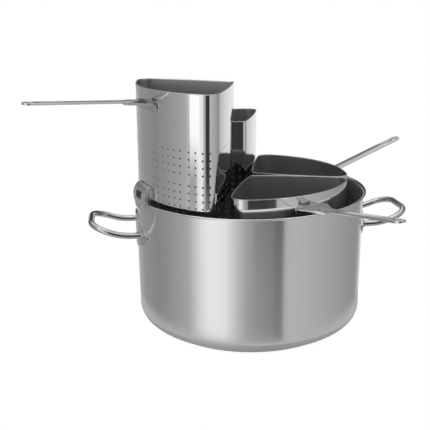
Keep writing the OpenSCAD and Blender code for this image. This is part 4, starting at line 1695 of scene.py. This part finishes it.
@dataclass
class Studio:
    """Camera, pale floor and soft light, set as the photograph shows the pot."""

    # the turn and the dip are in degrees, the roll in radians
    view_turn: float = 11.2
    camera_place: Point = (-55.05, -1101.9, 490.6)
    camera_dip: float = 16.312
    camera_roll: float = -0.012
    focal_px: float = 702.729
    image_px: float = 430.0
    sensor: float = 36.0
    clip: Flat = (50.0, 50000.0)
    # shares of the straight-up direction where the overhead soft box begins and is weaker again
    box_fade: Flat = (0.5, 0.82)
    box_ease: Flat = (0.8, 0.94)
    box_levels: Flat = (1.08, 0.74)
    light_colour: str = "FEFEFE"
    # degrees from the camera's side, where the bands are counted from, round to the part's +X
    band_turn: float = 81.66
    # a ramp holds no more than 1, so the bands are stored as shares of this level
    band_top: float = 1.3
    floor_rings: tuple[float, ...] = (0, 60, 120, 160, 200, 235)
    floor_sides: int = 96
    floor_drop: float = 0.3
    floor_colour: str = "C0C0C0"
    # how brightly the floor shows to the camera and in the metal, so that it is as pale as the page
    floor_seen: float = 0.86
    floor_mirrored: float = 0.22
    lamp_size: Flat = (1600.0, 1200.0)
    lamp_place: Point = (100.0, -100.0, 1700.0)
    lamp_watts: float = 4.5
    # brightness that the metal mirrors, by degrees to the right of the camera's side
    band_stops: tuple[tuple[float, float], ...] = (
        (-180, 0.4), (-165, 0.6), (-144, 0.42), (-133, 0.37), (-117, 0.35), (-105, 0.32),
        (-90, 0.37), (-72, 0.46), (-62, 0.52), (-57, 0.72), (-50, 0.92), (-40, 1.14), (-24, 1.08),
        (-12, 0.7), (-2, 0.47), (14, 0.4), (26, 0.34), (34.2, 0.26), (35.4, 0.6), (46, 0.62),
        (65, 0.57), (78, 0.53), (91, 0.49), (104, 0.44), (116, 0.41), (129, 0.37), (141, 0.35),
        (150, 0.5), (157, 0.8), (165, 0.9))
    cards: tuple[Card, ...] = (
        Card(-58, -49, -18, -12, 0.42, 1.5), Card(-56.5, -43, -13, 40, 1.4, 0.8),
        Card(4.5, 34.8, -18, 30, 0.045, 0.8), Card(25, 34.8, -21, -10, 0.07, 0.8),
        Card(-200, -120, 8, 27, 0.08, 4), Card(120, 200, 8, 27, 0.08, 4))

    def camera(self) -> None:
        """Sets the camera at the photograph's viewpoint."""
        dip, roll = math.radians(self.camera_dip), self.camera_roll
        ahead = Vector((0, math.cos(dip), -math.sin(dip)))
        right = Vector((1, 0, 0))
        up = right.cross(ahead)
        across = right * math.cos(roll) + up * math.sin(roll)
        above = up * math.cos(roll) - right * math.sin(roll)
        turn = Matrix.Rotation(math.radians(self.view_turn), 3, "Z")
        axes = Matrix([turn @ across, turn @ above, turn @ -ahead]).transposed()
        data = bpy.data.cameras.new("camera")
        data.sensor_width = self.sensor
        data.lens = self.focal_px * self.sensor / self.image_px
        data.clip_start, data.clip_end = (reach * MM for reach in self.clip)
        thing = new_object("camera", data)
        place = turn @ Vector(self.camera_place) * MM
        thing.matrix_world = Matrix.Translation(place) @ axes.to_4x4()
        bpy.context.scene.camera = thing

    def world(self) -> None:
        """Surrounds the pot with soft boxes and grey cards, and shows white behind it."""
        world = bpy.data.worlds.new("studio")
        bpy.context.scene.world = world
        world.use_nodes = True
        nodes = Nodes(world.node_tree)
        ray = nodes.add("ShaderNodeTexCoord")["Generated"]
        turned = nodes.add("ShaderNodeVectorRotate", {
            "Vector": ray, "Axis": (0, 0, 1), "Angle": math.radians(self.band_turn)},
                           rotation_type="AXIS_ANGLE")[0]
        parts = nodes.add("ShaderNodeSeparateXYZ", {0: turned})
        angle = nodes.add("ShaderNodeMath", {0: parts[1], 1: parts[0]}, operation="ARCTAN2")[0]
        share = nodes.add("ShaderNodeMapRange", {0: angle, 1: -math.pi, 2: math.pi})[0]
        bands = nodes.add("ShaderNodeValToRGB", {0: share})[0]
        stops = bands.node.color_ramp.elements
        stops.remove(stops[-1])
        for index, (degrees, level) in enumerate(self.band_stops):
            place = (degrees + 180) / 360
            stop = stops.new(place) if index else stops[0]
            stop.position, stop.color = place, (level / self.band_top,) * 3 + (1,)
        side = nodes.add("ShaderNodeMath", {0: bands, 1: self.band_top}, operation="MULTIPLY")[0]
        tilt = nodes.add("ShaderNodeMath", {0: parts[2]}, operation="ARCSINE")[0]
        turn, rise = (nodes.add("ShaderNodeMath", {0: radians, 1: math.degrees(1)},
                                operation="MULTIPLY")[0] for radians in (angle, tilt))
        for card in self.cards:
            side = card.over(nodes, turn, rise, side)
        # a broad overhead soft box fades in above the bands, and is weaker straight above
        above, box = (
            nodes.add("ShaderNodeMapRange", {0: parts[2], 1: start, 2: end, 3: low, 4: high},
                      interpolation_type="SMOOTHSTEP")[0]
            for start, end, low, high in ((*self.box_fade, 0.0, 1.0),
                                          (*self.box_ease, *self.box_levels)))
        level = nodes.add("ShaderNodeMix", {0: above, 2: side, 3: box})[0]
        light = nodes.add("ShaderNodeBackground",
                          {"Strength": level, "Color": linear(self.light_colour)})[0]
        white = nodes.add("ShaderNodeBackground", {"Strength": 1.0, "Color": (1, 1, 1, 1)})[0]
        seen = nodes.add("ShaderNodeLightPath")["Is Camera Ray"]
        shown = nodes.add("ShaderNodeMixShader", {0: seen, 1: light, 2: white})[0]
        nodes.add("ShaderNodeOutputWorld", {"Surface": shown})

    def floor(self) -> None:
        """Lays a plain pale floor that keeps the pot's shadow."""
        draft = Draft()
        turns = [2 * math.pi * i / self.floor_sides for i in range(self.floor_sides)]
        draft.add_grid([[(r * math.cos(a), r * math.sin(a), -self.floor_drop)
                         for r in self.floor_rings] for a in turns], close_rows=True)
        floor = new_object("floor", draft.to_mesh("floor"))
        material = bpy.data.materials.new("pale_table")
        material.use_nodes = True
        nodes = Nodes(material.node_tree)
        matt = nodes.add("ShaderNodeBsdfDiffuse", {"Color": linear(self.floor_colour)})[0]
        path = nodes.add("ShaderNodeLightPath")
        mirrored = nodes.add("ShaderNodeMath",
                             {0: path["Is Glossy Ray"], 1: self.floor_mirrored},
                             operation="MULTIPLY")[0]
        glow = nodes.add("ShaderNodeMath",
                         {0: path["Is Camera Ray"], 1: self.floor_seen, 2: mirrored},
                         operation="MULTIPLY_ADD")[0]
        pale = nodes.add("ShaderNodeEmission", {"Strength": glow})[0]
        both = nodes.add("ShaderNodeAddShader", {0: matt, 1: pale})[0]
        nodes.add("ShaderNodeOutputMaterial", {"Surface": both})
        floor.data.materials.append(material)

    def lamps(self) -> None:
        """Hangs one wide soft lamp over the pot."""
        data = bpy.data.lights.new("overhead", "AREA")
        data.shape = "RECTANGLE"
        data.size, data.size_y = (side * MM for side in self.lamp_size)
        data.energy = self.lamp_watts
        new_object("overhead", data).location = [c * MM for c in self.lamp_place]

    def build(self) -> None:
        """Sets the camera, the light and the floor."""
        self.camera()
        self.world()
        self.floor()
        self.lamps()
        bpy.context.scene.view_settings.view_transform = "Standard"


def main() -> None:
    """Builds the studio, then the pot, its handles and the inserts."""
    logging.basicConfig(level=logging.INFO, format="%(name)s: %(message)s")
    Studio().build()
    shop = Workshop()
    pot = Pot()
    pot.dress(shop)
    for side in Side:
        SideHandle(pot, side).dress(shop)
    Inserts(Strainer(), shop).dress()
    LOG.info("boxes written")


if __name__ == "__main__":
    main()
